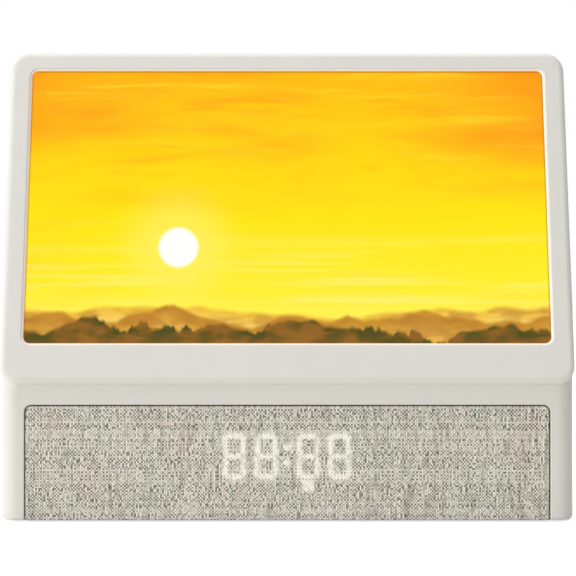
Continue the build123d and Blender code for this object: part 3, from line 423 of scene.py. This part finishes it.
def with_painted_lip_glow(made):
    """Adds a painted glow of the picture's light on the bevel round the window."""
    tree = made.node_tree
    shader = tree.nodes["Principled BSDF"]
    face_level = max(vertex.co.dot(face_normal) for vertex in nodes["front_housing"].data.vertices)
    place = add(tree, "TexCoord", out="Object")
    level = add(tree, "VectorMath", place, face_normal, operation="DOT_PRODUCT")
    start, full = face_level - 0.05 * mm, face_level - 0.5 * mm
    glow = add(tree, "MapRange", level, start, full, 0.0, 0.24, interpolation_type="SMOOTHSTEP")
    spot = add(tree, "SeparateXYZ", place).node.outputs
    off_middle = add(tree, "Math", spot["Z"], picture_middle, operation="SUBTRACT")
    for off, half in ((spot["X"], picture_width / 2), (off_middle, picture_rise / 2)):
        away = add(tree, "Math", off, operation="ABSOLUTE")
        within = add(tree, "Math", away, half + lip_reach, operation="LESS_THAN")
        glow = add(tree, "Math", glow, within, operation="MULTIPLY")
    shader.inputs["Emission Color"].default_value = linear("#FFBC80")
    tree.links.new(glow, shader.inputs["Emission Strength"])
    return made


# ---------------------------------------------------------------- the cloth front

cloth_low, cloth_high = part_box("fabric_panel")
digits_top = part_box("digit_segments")[1].z
thread_pitch = 0.53 * mm
thread_rise = 0.08 * mm  # how far a thread goes over and under
thread_round = 0.10 * mm  # how far its back stands over its sides
mean_round = 0.8  # share of that at the level the relief is measured from
steps_per_thread = 3
warp_unevenness, weft_unevenness = 0.13, 0.08  # how far thread widths vary
warp_sway, weft_sway = 0.385, 0.315  # how far threads wander, in threads
thread_swell = 0.12  # how far neighbours crowd and part, in threads
skip_share = 0.15  # how many crossings skip a turn
cloth_setback = 0.15 * mm  # from the panel's front to the weave's middle level
cloth_edge = 0.5 * mm
rim_shade_width = 0.3125 * mm  # how wide the painted shade runs along the cloth's outline
cloth_corner = 2.0 * mm
cloth_lower_corner = 1.0 * mm
cloth_return = 1.2 * mm  # how far the cloth turns back round the frame's edge

digit_height = 14.2 * mm
digit_width = 7.2 * mm
digit_rise = 0.2 * mm  # how far the digits show over the segments' place
digit_places = (-16.3 * mm, -6.45 * mm, 6.45 * mm, 16.05 * mm)
bar_width = 1.7 * mm
level_gap = 1.0 * mm  # from an upright bar's centre line to a level bar's end
upright_gaps = (1.1 * mm, 0.8 * mm)  # from the middle and outer bars' centre lines to an upright's ends
glow_core = 0.2 * mm  # how far the glow stays full beyond a bar's centre line
glow_fade = 1.35 * mm
glow_halo = 2.8 * mm
halo_share = 0.16
colon_pitch = 4.9 * mm
colon_rise = 0.45 * mm
colon_radius = 0.35 * mm
marker_size = 3.2 * mm
marker_gap = 0.35 * mm  # from the digits' foot down to it


def distance_to_bar(x, z, start, end):
    """How far points are from a straight bar."""
    along = np.subtract(end, start)
    t = ((x - start[0]) * along[0] + (z - start[1]) * along[1]) / (along @ along)
    t = np.clip(t, 0, 1)
    return np.hypot(x - start[0] - t * along[0], z - start[1] - t * along[1])


def display_glow(x, z):
    """How strongly the display shines through the cloth at each point, from 0 to 1."""
    middle = digits_top - digit_height / 2 + digit_rise
    across = (digit_width - bar_width) / 2
    upright = (digit_height - bar_width) / 2
    near = np.full(x.shape, np.inf)
    reach = across - level_gap
    for place in digit_places:
        for level in (-1, 0, 1):
            height = middle + level * upright
            near = np.minimum(near, distance_to_bar(x, z, (place - reach, height), (place + reach, height)))
        for side in (-1, 1):
            for level in (-1, 1):
                start = (place + side * across, middle + level * upright_gaps[0])
                end = (place + side * across, middle + level * (upright - upright_gaps[1]))
                near = np.minimum(near, distance_to_bar(x, z, start, end))
    for level in (-1, 1):
        dot = np.hypot(x, z - middle - colon_rise - level * colon_pitch / 2) - colon_radius
        near = np.minimum(near, dot)
    marker_z = middle - digit_height / 2 - marker_gap - marker_size / 2
    square = np.maximum(abs(x - digit_places[2]), abs(z - marker_z)) - marker_size / 2 + glow_fade / 2
    near = np.minimum(near, square)
    near = np.maximum(near - glow_core, 0)
    bright = np.clip(1 - near / glow_fade, 0, 1)
    halo = np.clip(1 - near / glow_halo, 0, 1)
    return (1 - halo_share) * bright * bright * (3 - 2 * bright) + halo_share * halo * halo


def wandering_threads(count, spread, span=9):
    """Noise round zero, one value per thread, smoothed over a span of threads."""
    steps = rng.normal(0, 1, count + span - 1)
    return np.convolve(steps, np.ones(span) / span, "valid") * spread


def uneven_threads(count, spread):
    """Where each thread starts, for threads of uneven width."""
    widths = 1 + rng.uniform(-spread, spread, count)
    return np.concatenate([[0], np.cumsum(widths)])


def woven_cloth():
    """Linen-look speaker cloth, thread by thread, stretched over the front's frame."""
    half = (cloth_high.x - cloth_low.x) / 2
    tall = (cloth_high.z - cloth_low.z) / 2
    middle_z = (cloth_high.z + cloth_low.z) / 2
    step = thread_pitch / steps_per_thread
    reach = cloth_return + cloth_edge
    xs = np.arange(-half - reach, half + reach + step, step)
    zs = np.arange(-tall - reach, tall + reach + step, step)
    x, z = np.meshgrid(xs, zs)

    warp_count = int(2 * (half + reach) / thread_pitch) + 3
    weft_count = int(2 * (tall + reach) / thread_pitch) + 3
    warp_shift = wandering_threads(warp_count, warp_sway)
    weft_shift = wandering_threads(weft_count, weft_sway)
    u = (x + half + reach) / thread_pitch
    v = (z + tall + reach) / thread_pitch
    warp_sways = np.interp(v, np.arange(weft_count), weft_shift)
    weft_sways = np.interp(u, np.arange(warp_count), warp_shift)
    warp_place = u + warp_sways + np.sin(u / 3.1 + v / 9.7) * thread_swell
    weft_place = v + weft_sways + np.sin(v / 2.3 + u / 14.0) * thread_swell
    before, beyond = 2, 10  # spare threads at either end, so that no place runs off the rows
    warp_starts = uneven_threads(warp_count + before + beyond, warp_unevenness)
    weft_starts = uneven_threads(weft_count + before + beyond, weft_unevenness)
    warp_place = np.interp(warp_place + before, warp_starts, np.arange(len(warp_starts)))
    weft_place = np.interp(weft_place + before, weft_starts, np.arange(len(weft_starts)))
    i, j = np.floor(warp_place), np.floor(weft_place)
    across_warp = np.abs(warp_place - i - 0.5) * 2
    across_weft = np.abs(weft_place - j - 0.5) * 2
    warp_swing = np.cos(np.pi * (weft_place - 0.5 - i))
    weft_swing = -np.cos(np.pi * (warp_place - 0.5 - j))
    warp = thread_rise * warp_swing + thread_round * np.sqrt(1 - across_warp**2)
    weft = thread_rise * weft_swing + thread_round * np.sqrt(1 - across_weft**2)
    height = np.maximum(warp, weft)

    # the panel's rounded outline: outside it the cloth turns back round the frame's edge
    corner = np.where(z > 0, cloth_corner, cloth_lower_corner)
    corner_x = np.maximum(np.abs(x) - half + corner, 0)
    corner_z = np.maximum(np.abs(z) - tall + corner, 0)
    from_corner = np.hypot(corner_x, corner_z)
    in_corner = (corner_x > 0) & (corner_z > 0)
    outside = np.where(in_corner, from_corner - corner, np.maximum(np.abs(x) - half, np.abs(z) - tall))
    over = np.maximum(outside, 0)
    held = corner / np.maximum(from_corner, corner)
    x_on = np.sign(x) * np.where(in_corner, half - corner + corner_x * held, np.minimum(np.abs(x), half))
    z_on = np.sign(z) * np.where(in_corner, tall - corner + corner_z * held, np.minimum(np.abs(z), tall))
    near_edge = np.clip(outside + cloth_edge, 0, cloth_edge)
    turn_back = cloth_edge - np.sqrt(np.maximum(cloth_edge**2 - near_edge**2, 0)) + over
    flat = np.clip(1 - (outside + cloth_edge) / cloth_edge, 0, 1)
    relief = (height - thread_round * mean_round) * flat
    y_on = cloth_low.y + cloth_setback + turn_back - relief
    points = np.column_stack([x_on.ravel(), y_on.ravel(), (z_on + middle_z).ravel()])

    rows, columns = x.shape
    index = np.arange(rows * columns).reshape(rows, columns)
    corners = (index[:-1, :-1], index[:-1, 1:], index[1:, 1:], index[1:, :-1])
    faces = np.stack(corners, axis=-1).reshape(-1, 4)
    mesh = bpy.data.meshes.new("speaker_cloth")
    mesh.from_pydata(points.tolist(), [], faces.tolist())
    mesh.shade_smooth()
    facts = {
        "warp_place": warp_place,
        "weft_place": weft_place,
        "display_glow": display_glow(x_on, z_on + middle_z),
        # painted shade along the outline, where the cloth turns back into the gap round the frame
        "painted_rim_shade": np.clip(1 + outside / rim_shade_width, 0, 1),
    }
    for name, values in facts.items():
        attribute = mesh.attributes.new(name, "FLOAT", "POINT")
        attribute.data.foreach_set("value", values.ravel().astype(np.float32))
    cloth = bpy.data.objects.new("speaker_cloth", mesh)
    scene.collection.objects.link(cloth)
    return cloth


def linen_weave():
    """Polyester speaker cloth woven like linen: uneven threads, painted shade in the pits between them and
    along the outline, faint streaks.
    """
    made, tree = new_material("polyester_linen_weave")
    warp, weft, glow, edge = [
        add(tree, "Attribute", attribute_name=name, out="Fac")
        for name in ("warp_place", "weft_place", "display_glow", "painted_rim_shade")
    ]
    numbers, off_middles = [], []
    for place in (warp, weft):
        numbers.append(add(tree, "Math", place, operation="FLOOR"))
        off = add(tree, "Math", add(tree, "Math", place, operation="FRACT"), 0.5, operation="SUBTRACT")
        off_middles.append(add(tree, "Math", off, operation="ABSOLUTE"))
    warp_number, weft_number = numbers

    # over and under by turns, with a skip here and there in both warps of a pair
    pair = add(tree, "Math", add(tree, "Math", warp_number, 0.5, operation="MULTIPLY"), operation="FLOOR")
    pair_place = add(tree, "CombineXYZ", pair, weft_number)
    skip = add(tree, "TexWhiteNoise", pair_place, noise_dimensions="2D")
    skip = add(tree, "Math", skip, 1 - skip_share, operation="GREATER_THAN")
    turn = add(tree, "Math", add(tree, "Math", *numbers, operation="ADD"), skip, operation="ADD")
    weft_on_top = add(tree, "Math", turn, 2.0, operation="MODULO")
    warp_on_top = add(tree, "Math", 1.0, weft_on_top, operation="SUBTRACT")
    chance = add(tree, "TexWhiteNoise", add(tree, "CombineXYZ", *numbers), noise_dimensions="2D")
    weft_seed = add(tree, "Math", weft_number, 0.37, operation="ADD")
    tones = [add(tree, "TexWhiteNoise", seed, noise_dimensions="1D") for seed in (warp_number, weft_seed)]
    tone = add(tree, "Mix", weft_on_top, *tones)

    # the thread itself: dye that wanders, thick pale slubs, thin grey stretches, and bright flecks on
    # raised crossings that are painted highlights
    dye = grain(tree, 7 * mm, 3, (1, 1, 3))
    dye = add(tree, "MapRange", dye, 0.42, 0.7, interpolation_type="SMOOTHSTEP")
    thread = add(tree, "Mix", dye, "#F9F7E9", "#FAEFE3", data_type="RGBA")
    slub = grain(tree, 0.8 * mm, 2, (1, 1, 9))
    slub = add(tree, "MapRange", slub, 0.52, 0.75, 0.0, 0.7, interpolation_type="SMOOTHSTEP")
    thread = add(tree, "Mix", slub, thread, "#FCF9EF", data_type="RGBA")
    # painted highlights: near-white spots on some crossings where the warp lies on top
    crossing_highlight = add(tree, "MapRange", chance, 0.62, 0.95, 0.0, 0.85, interpolation_type="SMOOTHSTEP")
    crossing_highlight = add(tree, "Math", crossing_highlight, warp_on_top, operation="MULTIPLY")
    thread = add(tree, "Mix", crossing_highlight, thread, "#FFFDF2", data_type="RGBA")
    thin = grain(tree, 1.1 * mm, 2, (1, 1, 6))
    thin = add(tree, "MapRange", thin, 0.5, 0.72, 0.0, 0.42, interpolation_type="SMOOTHSTEP")
    thread = add(tree, "Mix", thin, thread, "#8B8676", data_type="RGBA")

    # painted shade: on a thread that dips under, in the pits between threads, and on a thread's own sides
    under = add(tree, "MapRange", chance, -0.25, 0.65, 0.0, 0.82, interpolation_type="SMOOTHSTEP")
    under = add(tree, "Math", under, weft_on_top, operation="MULTIPLY")
    off_both = add(tree, "Math", *off_middles, operation="ADD")
    pit = add(tree, "MapRange", off_both, 0.5, 0.95, interpolation_type="SMOOTHSTEP")
    pit_shade = add(tree, "Math", pit, 0.8, operation="MULTIPLY")
    side = add(tree, "Mix", weft_on_top, *off_middles)
    side = add(tree, "MapRange", side, 0.22, 0.5, 0.0, 0.5, interpolation_type="SMOOTHSTEP")
    dark = add(tree, "Math", under, pit_shade, operation="MAXIMUM")
    dark = add(tree, "Math", dark, side, operation="MAXIMUM")
    tone = add(tree, "MapRange", tone, -0.5, 0.7, interpolation_type="SMOOTHSTEP")
    dark = add(tree, "Math", dark, tone, operation="MULTIPLY")
    # the painted shade darkens the thread's colour towards #3A352A
    thread = add(tree, "Mix", dark, thread, "#3A352A", data_type="RGBA")
    # painted shade along the cloth's outline, darkening it towards #2E2A20 where it turns back into the gap
    edge = add(tree, "Math", edge, 0.85, operation="MULTIPLY")

    through = add(tree, "MapRange", dark, 0.0, 1.0, 0.2, 0.62)  # the open weave passes more of the display
    rise = add(tree, "Math", 1.0, pit, operation="SUBTRACT")
    return finished(
        made,
        Base_Color=add(tree, "Mix", edge, thread, "#2E2A20", data_type="RGBA"),
        Roughness=0.85,
        Sheen_Weight=0.15,
        Sheen_Roughness=0.5,
        Emission_Color="#F8F7F1",
        Emission_Strength=add(tree, "Math", glow, through, operation="MULTIPLY"),
        Normal=add(tree, "Bump", Height=rise, Distance=thread_rise),
    )


cloth = woven_cloth()
cloth.data.materials.append(linen_weave())
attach(cloth, "clock")
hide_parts("fabric_panel")


def printed_film():
    """The film in the window, a hair behind the clear sheet."""
    gap, thickness = 0.05 * mm, 0.2 * mm
    mesh = nodes["picture_film"].data.copy()
    mesh.name = "printed_film"
    points = np.empty(len(mesh.vertices) * 3)
    mesh.vertices.foreach_get("co", points)
    points = points.reshape(-1, 3)
    depth = points @ np.array(face_normal)
    front = depth > (depth.min() + depth.max()) / 2
    spare = np.ptp(depth) - thickness - gap
    points -= np.outer(np.where(front, gap, -spare), face_normal)
    mesh.vertices.foreach_set("co", points.ravel())
    film = bpy.data.objects.new("printed_film", mesh)
    scene.collection.objects.link(film)
    return film


film = printed_film()
film.data.materials.clear()
film.data.materials.append(picture_print())
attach(film, "clock")
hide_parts("picture_film")


# ---------------------------------------------------------------- key caps

shell_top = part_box("rear_housing")[1].z
key_wall = 2.2 * mm  # the housing's wall over a key's flange
flange_gap = 0.3 * mm  # from a flange up to that wall
cap_corner = 3.0 * mm
cap_edge = 0.6 * mm  # rounding of a cap's top edge
cap_flange = 1.0 * mm
flange_height = 1.2 * mm
stem_radius = 2.0 * mm
dish_rim = 1.1 * mm
dish_depth = 0.45 * mm
dish_flat = 0.6  # share of the dish that is flat
mark_lift = 0.02 * mm
mark_scale = 1.2 * mm  # size of one unit of a mark's outline
mark_arm, mark_bar = 1.7, 0.42  # the plus and minus marks' reach and width, in such units


def rounded_ring(width, depth, corner, level, per_corner=10):
    """Points round a rounded rectangle at one level."""
    corner = max(min(corner, width / 2, depth / 2), 0.01 * mm)
    points = []
    for quarter, (side_x, side_y) in enumerate(((1, 1), (-1, 1), (-1, -1), (1, -1))):
        for k in range(per_corner + 1):
            angle = (quarter + k / per_corner) * math.pi / 2
            x = side_x * (width / 2 - corner) + corner * math.cos(angle)
            y = side_y * (depth / 2 - corner) + corner * math.sin(angle)
            points.append((x, y, level))
    return points


def lofted(rings, mesh_name):
    """A closed mesh through rings of equal length, from the first to the last."""
    count = len(rings[0])
    points = [point for ring in rings for point in ring]
    faces = []
    for level in range(len(rings) - 1):
        for k in range(count):
            after = (k + 1) % count
            low, high = level * count, (level + 1) * count
            faces.append((low + k, low + after, high + after, high + k))
    faces.append(tuple(reversed(range(count))))
    faces.append(tuple(range((len(rings) - 1) * count, len(rings) * count)))
    mesh = bpy.data.meshes.new(mesh_name)
    mesh.from_pydata(points, [], faces)
    return mesh


def key_cap(name):
    """A moulded key cap: stem, flange, straight sides, rounded edge and a shallow finger dish."""
    low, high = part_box(name)
    middle_x, middle_y = (low.x + high.x) / 2, (low.y + high.y) / 2
    width, depth = high.x - low.x - 2 * cap_flange, high.y - low.y - 2 * cap_flange
    top = high.z
    flange_low = shell_top - key_wall - flange_gap - flange_height
    stem = 2 * stem_radius
    flange = (width + 2 * cap_flange, depth + 2 * cap_flange, cap_corner + cap_flange)
    rings = [
        rounded_ring(stem, stem, stem_radius, low.z),
        rounded_ring(stem, stem, stem_radius, flange_low),
        rounded_ring(*flange, flange_low),
        rounded_ring(*flange, flange_low + flange_height),
        rounded_ring(width, depth, cap_corner, flange_low + flange_height),
        rounded_ring(width, depth, cap_corner, top - cap_edge - 0.05 * mm),
    ]
    for turn in np.linspace(0, math.pi / 2, 7):
        inset = cap_edge * (1 - math.cos(turn))
        level = top - cap_edge + cap_edge * math.sin(turn)
        rings.append(rounded_ring(width - 2 * inset, depth - 2 * inset, cap_corner - inset, level))
    wall = min(width, depth) / 2 - dish_rim
    for fall in np.linspace(0, 1, 9):
        inset = dish_rim + fall * wall * (1 - dish_flat)
        drop = dish_depth * fall * fall * (3 - 2 * fall)
        corner = cap_corner - cap_edge - 0.4 * (inset - cap_edge)
        rings.append(rounded_ring(width - 2 * inset, depth - 2 * inset, corner, top - drop))
    mesh = lofted(rings, name + "_cap")
    mesh.shade_smooth()
    mesh.set_sharp_from_angle(angle=math.radians(40))
    cap = bpy.data.objects.new(name + "_cap", mesh)
    cap.location = (middle_x, middle_y, 0)
    scene.collection.objects.link(cap)
    return cap, (middle_x, middle_y, top - dish_depth + mark_lift)


def arc(radius, start, end, middle=(0, 0), points=12):
    """Points along an arc, from one angle to another in degrees."""
    turns = np.radians(np.linspace(start, end, points))
    return [(middle[0] + radius * math.cos(a), middle[1] + radius * math.sin(a)) for a in turns]


def stroke(start, end, width):
    """A straight bar with square ends."""
    along = np.subtract(end, start)
    side = np.array((-along[1], along[0])) / np.hypot(*along) * width / 2
    return [tuple(corner) for corner in (start - side, end - side, end + side, start + side)]


def sun_mark():
    """A disc with eight rays."""
    rays = arc(1.0, 0, 315, points=8)
    sides = 28
    disc = arc(0.95, 0, 360 - 360 / sides, points=sides)
    return [disc] + [stroke((1.45 * x, 1.45 * y), (2.2 * x, 2.2 * y), 0.34) for x, y in rays]


def bell_mark():
    """A bell with its clapper under the rim."""
    half = [
        (0.0, 1.9), (0.55, 1.75), (0.95, 1.35), (1.15, 0.7),
        (1.25, 0.0), (1.45, -0.6), (1.85, -1.05), (1.85, -1.3),
    ]
    outline = half + [(-x, y) for x, y in reversed(half)][:-1]
    return [outline, arc(0.5, -180, 0, (0, -1.5))]


def moon_mark():
    """A crescent between two circles that meet at its horns, in strips."""
    outer = arc(1.9, 56.7, 303.3, points=25)
    inner = arc(1.6, 83.1, 276.9, (0.85, 0), points=25)
    return [[a, b, d, c] for a, b, c, d in zip(outer, outer[1:], inner, inner[1:])]


def minus_mark():
    """One level bar."""
    return [stroke((-mark_arm, 0), (mark_arm, 0), mark_bar)]


def plus_mark():
    """A level bar with an upright one over and under it."""
    over = stroke((0, mark_bar / 2), (0, mark_arm), mark_bar)
    below = stroke((0, -mark_arm), (0, -mark_bar / 2), mark_bar)
    return minus_mark() + [over, below]


def pad_print(name, shapes, place):
    """A mark printed on a key, a hair over its dish."""
    points, faces = [], []
    for shape in shapes:
        faces.append(tuple(range(len(points), len(points) + len(shape))))
        points += [(x * mark_scale, y * mark_scale, 0.0) for x, y in shape]
    mesh = bpy.data.meshes.new(name)
    mesh.from_pydata(points, [], faces)
    mark = bpy.data.objects.new(name, mesh)
    mark.location = place
    scene.collection.objects.link(mark)
    return mark


print_ink = pad_ink("#8A8780")
key_finish = moulded_abs("abs_key_satin", "#E6E3DD", "#E2DFD8", 0.35 * mm, 0.006 * mm, 0.36)
key_marks = {
    "light_key": sun_mark, "alarm_key": bell_mark, "snooze_key": moon_mark,
    "sound_down_key": minus_mark, "sound_up_key": plus_mark,
}
for key_name, draw in key_marks.items():
    cap, mark_place = key_cap(key_name)
    cap.data.materials.append(key_finish)
    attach(cap, key_name)
    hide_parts(key_name)
    mark = pad_print(key_name + "_mark", draw(), mark_place)
    mark.data.materials.append(print_ink)
    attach(mark, key_name)


# ---------------------------------------------------------------- the socket's tongue

socket_low, socket_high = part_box("usb_socket")
tongue_width, tongue_thickness, tongue_length = 6.3 * mm, 0.8 * mm, 4.4 * mm
tongue_setback = 0.95 * mm  # how far inside the socket's mouth it ends
tongue_back = socket_high.y - tongue_setback
contact_count, contact_pitch = 12, 0.5 * mm
contact_setback = 0.5 * mm
contact_size = (0.26 * mm, 3.4 * mm, 0.03 * mm)


def boxes(name, places, size):
    """One mesh of equal blocks, each with its middle at a place and its edges broken."""
    points, faces = [], []
    for place in places:
        half = np.array(size) / 2
        edge = min(size) * 0.2
        rings = []
        for level, inset in ((-half[2], edge), (-half[2] + edge, 0), (half[2] - edge, 0), (half[2], edge)):
            ring = rounded_ring(size[0] - 2 * inset, size[1] - 2 * inset, 2 * edge, level, 3)
            rings.append([tuple(np.add(place, point)) for point in ring])
        block = lofted(rings, name)
        base = len(points)
        points += [tuple(vertex.co) for vertex in block.vertices]
        faces += [tuple(base + index for index in face.vertices) for face in block.polygons]
    mesh = bpy.data.meshes.new(name)
    mesh.from_pydata(points, [], faces)
    made = bpy.data.objects.new(name, mesh)
    scene.collection.objects.link(made)
    return made


socket_middle = (socket_low + socket_high) / 2
tongue_y = tongue_back - tongue_length / 2
tongue_place = (socket_middle.x, tongue_y, socket_middle.z)
tongue = boxes("usb_tongue", [tongue_place], (tongue_width, tongue_length, tongue_thickness))
tongue.data.materials.append(fine_grained("lcp_black_tongue", "#1A1A1C", 0.4))
contact_y = tongue_back - contact_setback - contact_size[1] / 2
contact_xs = [socket_middle.x + (k - (contact_count - 1) / 2) * contact_pitch for k in range(contact_count)]
contact_levels = [socket_middle.z + side * tongue_thickness / 2 for side in (-1, 1)]
contact_places = [(x, contact_y, z) for z in contact_levels for x in contact_xs]
contacts = boxes("usb_contacts", contact_places, contact_size)
contacts.data.materials.append(metal("contact_gold_plated", "#E2B657", 0.25))
for piece in (tongue, contacts):
    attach(piece, "clock")


# ---------------------------------------------------------------- finishes on the CAD pieces

shell_finish = ("#E3E1DB", "#E2E0DA", 0.45 * mm, 0.012 * mm, 0.5)
finishes = [
    (with_painted_lip_glow(moulded_abs("abs_warm_white_front", *shell_finish)), ["front_housing"]),
    (moulded_abs("abs_warm_white_textured", *shell_finish), ["rear_housing", "base_plate"]),
    (key_finish, ["cell_door"]),
    (clear_acrylic(), ["screen_window"]),
    (opal_acrylic(), ["diffuser_sheet"]),
    (white_polycarbonate(), ["light_box"]),
    (fine_grained("abs_grey_grille", "#6E6A62", 0.6), ["grille_frame"]),
    (fine_grained("polycarbonate_black_reflector", "#101011", 0.4), ["digit_block"]),
    (glowing("epoxy_milky_lit", "#FFF3DC", 2.0), ["digit_segments"]),
    (circuit_board("board_green_mask", "#1E5B38", "#2B7248"), ["main_board", "display_board", "key_board"]),
    (circuit_board("board_white_mask", "#EDEDE8", "#DCDCD4"), ["lamp_board"]),
    (fine_grained("epoxy_chip", "#17171A", 0.35), ["main_board_parts"]),
    (glowing("led_warm_phosphor", "#FFC860", 3.0), ["lamp_leds"]),
    (metal("steel_zinc_plated", "#B9BDC2", 0.3), [
        "shell_screws", "base_screws", "door_screw", "light_box_screws", "lamp_board_screws",
        "grille_screws", "main_board_screws", "key_board_screws", "coin_cell",
    ]),
    (metal("ferrite_pressed", "#3A3A3C", 0.6), ["speaker_magnet_left", "speaker_magnet_right"]),
    (metal("steel_black_basket", "#2A2A2B", 0.45), ["speaker_basket_left", "speaker_basket_right"]),
    (rubber("rubber_surround", "#2B2A29"), ["speaker_surround_left", "speaker_surround_right"]),
    (fine_grained("paper_pulp_cone", "#2F2D2A", 0.8), ["speaker_cone_left", "speaker_cone_right"]),
    (fine_grained("abs_black_chamber", "#1B1B1C", 0.5), [
        "speaker_chamber_left", "speaker_chamber_right", "cell_holder",
    ]),
    (rubber("silicone_feet", "#5A5753"), ["rubber_feet"]),
    (ribbed_cable("#B9B9B6", "#8F8F8C"), ["display_ribbon", "lamp_ribbon", "key_ribbon"]),
    (fine_grained("pvc_black_lead", "#1E1E20", 0.45), ["speaker_lead_left", "speaker_lead_right"]),
    (moulded_abs("nylon_white_plug", "#E9E6DA", "#E1DECF", 0.4 * mm, 0.01 * mm, 0.45), ["cable_plugs"]),
    (metal("steel_nickel_plated", "#C9C4BA", 0.22), ["usb_socket"]),
    (fine_grained("pbt_switch_body", "#232325", 0.42), ["key_switches", "alarm_switch", "alarm_slider"]),
    (fine_grained("pbt_plunger", "#2E2D2C", 0.4), [
        "light_plunger", "alarm_plunger", "snooze_plunger", "sound_down_plunger", "sound_up_plunger",
    ]),
]
for finish, names in finishes:
    for name in names:
        nodes[name].data.materials.clear()
        nodes[name].data.materials.append(finish)


# ---------------------------------------------------------------- floor, light and camera

floor_reach = 6.0
floor_near, floor_far = 0.13, 0.5  # from the clock's shadow to where the floor is pure white
floor_level = 0.74  # how bright it is seen round the clock, next to that white
ambient = 0.23  # the world's own light, next to what is seen of it
aim = (0, 0, 0.07)
softboxes = [
    # name, place, size, power, and whether it shows in glossy and clear pieces
    ("softbox_overhead", (0.0, 0.0, 1.7), 1.0, 15.2, True),
    ("softbox_top_left", (-0.55, -0.95, 1.45), 0.8, 3.4, True),
    ("softbox_front_left", (-1.6, -2.08, 0.52), 1.3, 19.5, False),
    ("softbox_left", (-2.4, -0.4, 0.6), 1.4, 27.6, False),
]
camera_distance = 0.6
camera_height = 72.1 * mm
camera_lens = 122.5
camera_shift = 0.0012  # the clock stands a hair off the frame's middle


def seen_directly(tree):
    """1 for what is seen, reflected or looked at through a clear sheet, and 0 for what gives light."""
    rays = add(tree, "LightPath").node.outputs
    others = add(tree, "Math", rays["Is Glossy Ray"], rays["Is Transmission Ray"], operation="MAXIMUM")
    return add(tree, "Math", rays["Is Camera Ray"], others, operation="MAXIMUM")


def studio_floor():
    """A plain pale floor that keeps the clock's shadow and meets a white background."""
    corners = [(x * floor_reach, y * floor_reach, 0) for x, y in ((-1, -1), (1, -1), (1, 1), (-1, 1))]
    mesh = bpy.data.meshes.new("floor")
    mesh.from_pydata(corners, [], [(0, 1, 2, 3)])
    floor = bpy.data.objects.new("floor", mesh)
    scene.collection.objects.link(floor)
    made, tree = new_material("floor_white_paper")
    away = add(tree, "VectorMath", add(tree, "TexCoord", out="Object"), operation="LENGTH")
    level = add(tree, "MapRange", away, floor_near, floor_far, floor_level, 1.0)
    strength = add(tree, "Math", seen_directly(tree), level, operation="MULTIPLY")
    paper = add(tree, "BsdfDiffuse", "#F2F0EC")
    lift = add(tree, "Emission", "#FFFFFF", strength)
    add(tree, "OutputMaterial", add(tree, "AddShader", paper, lift))
    mesh.materials.append(made)


def studio_world():
    """White where it is seen, and a softer level where it lights the clock."""
    world = bpy.data.worlds.new("studio")
    scene.world = world
    world.use_nodes = True
    tree = world.node_tree
    tree.nodes.clear()
    soft = add(tree, "Background", "#FFFFFF", ambient)
    white = add(tree, "Background", "#FFFFFF", 1.0)
    add(tree, "OutputWorld", add(tree, "MixShader", seen_directly(tree), soft, white))


def softbox(name, place, size, power, mirrored):
    """A square lamp aimed at the clock."""
    lamp = bpy.data.lights.new(name, "AREA")
    lamp.shape = "SQUARE"
    lamp.size = size
    lamp.energy = power
    box = bpy.data.objects.new(name, lamp)
    box.location = place
    box.rotation_euler = (Vector(aim) - Vector(place)).to_track_quat("-Z", "Y").to_euler()
    box.visible_glossy = box.visible_transmission = mirrored
    scene.collection.objects.link(box)


def front_camera():
    """A level long lens at the middle of the clock's height."""
    body = bpy.data.cameras.new("camera")
    body.sensor_width = 36.0
    body.lens = camera_lens
    body.shift_x = camera_shift
    body.clip_start = 0.05
    camera = bpy.data.objects.new("camera", body)
    camera.location = (0, cad_box[0].y - camera_distance, camera_height)
    camera.rotation_euler = (math.pi / 2, 0, 0)
    scene.collection.objects.link(camera)
    scene.camera = camera


studio_floor()
studio_world()
for lamp_values in softboxes:
    softbox(*lamp_values)
front_camera()

scene.view_settings.view_transform = "Standard"
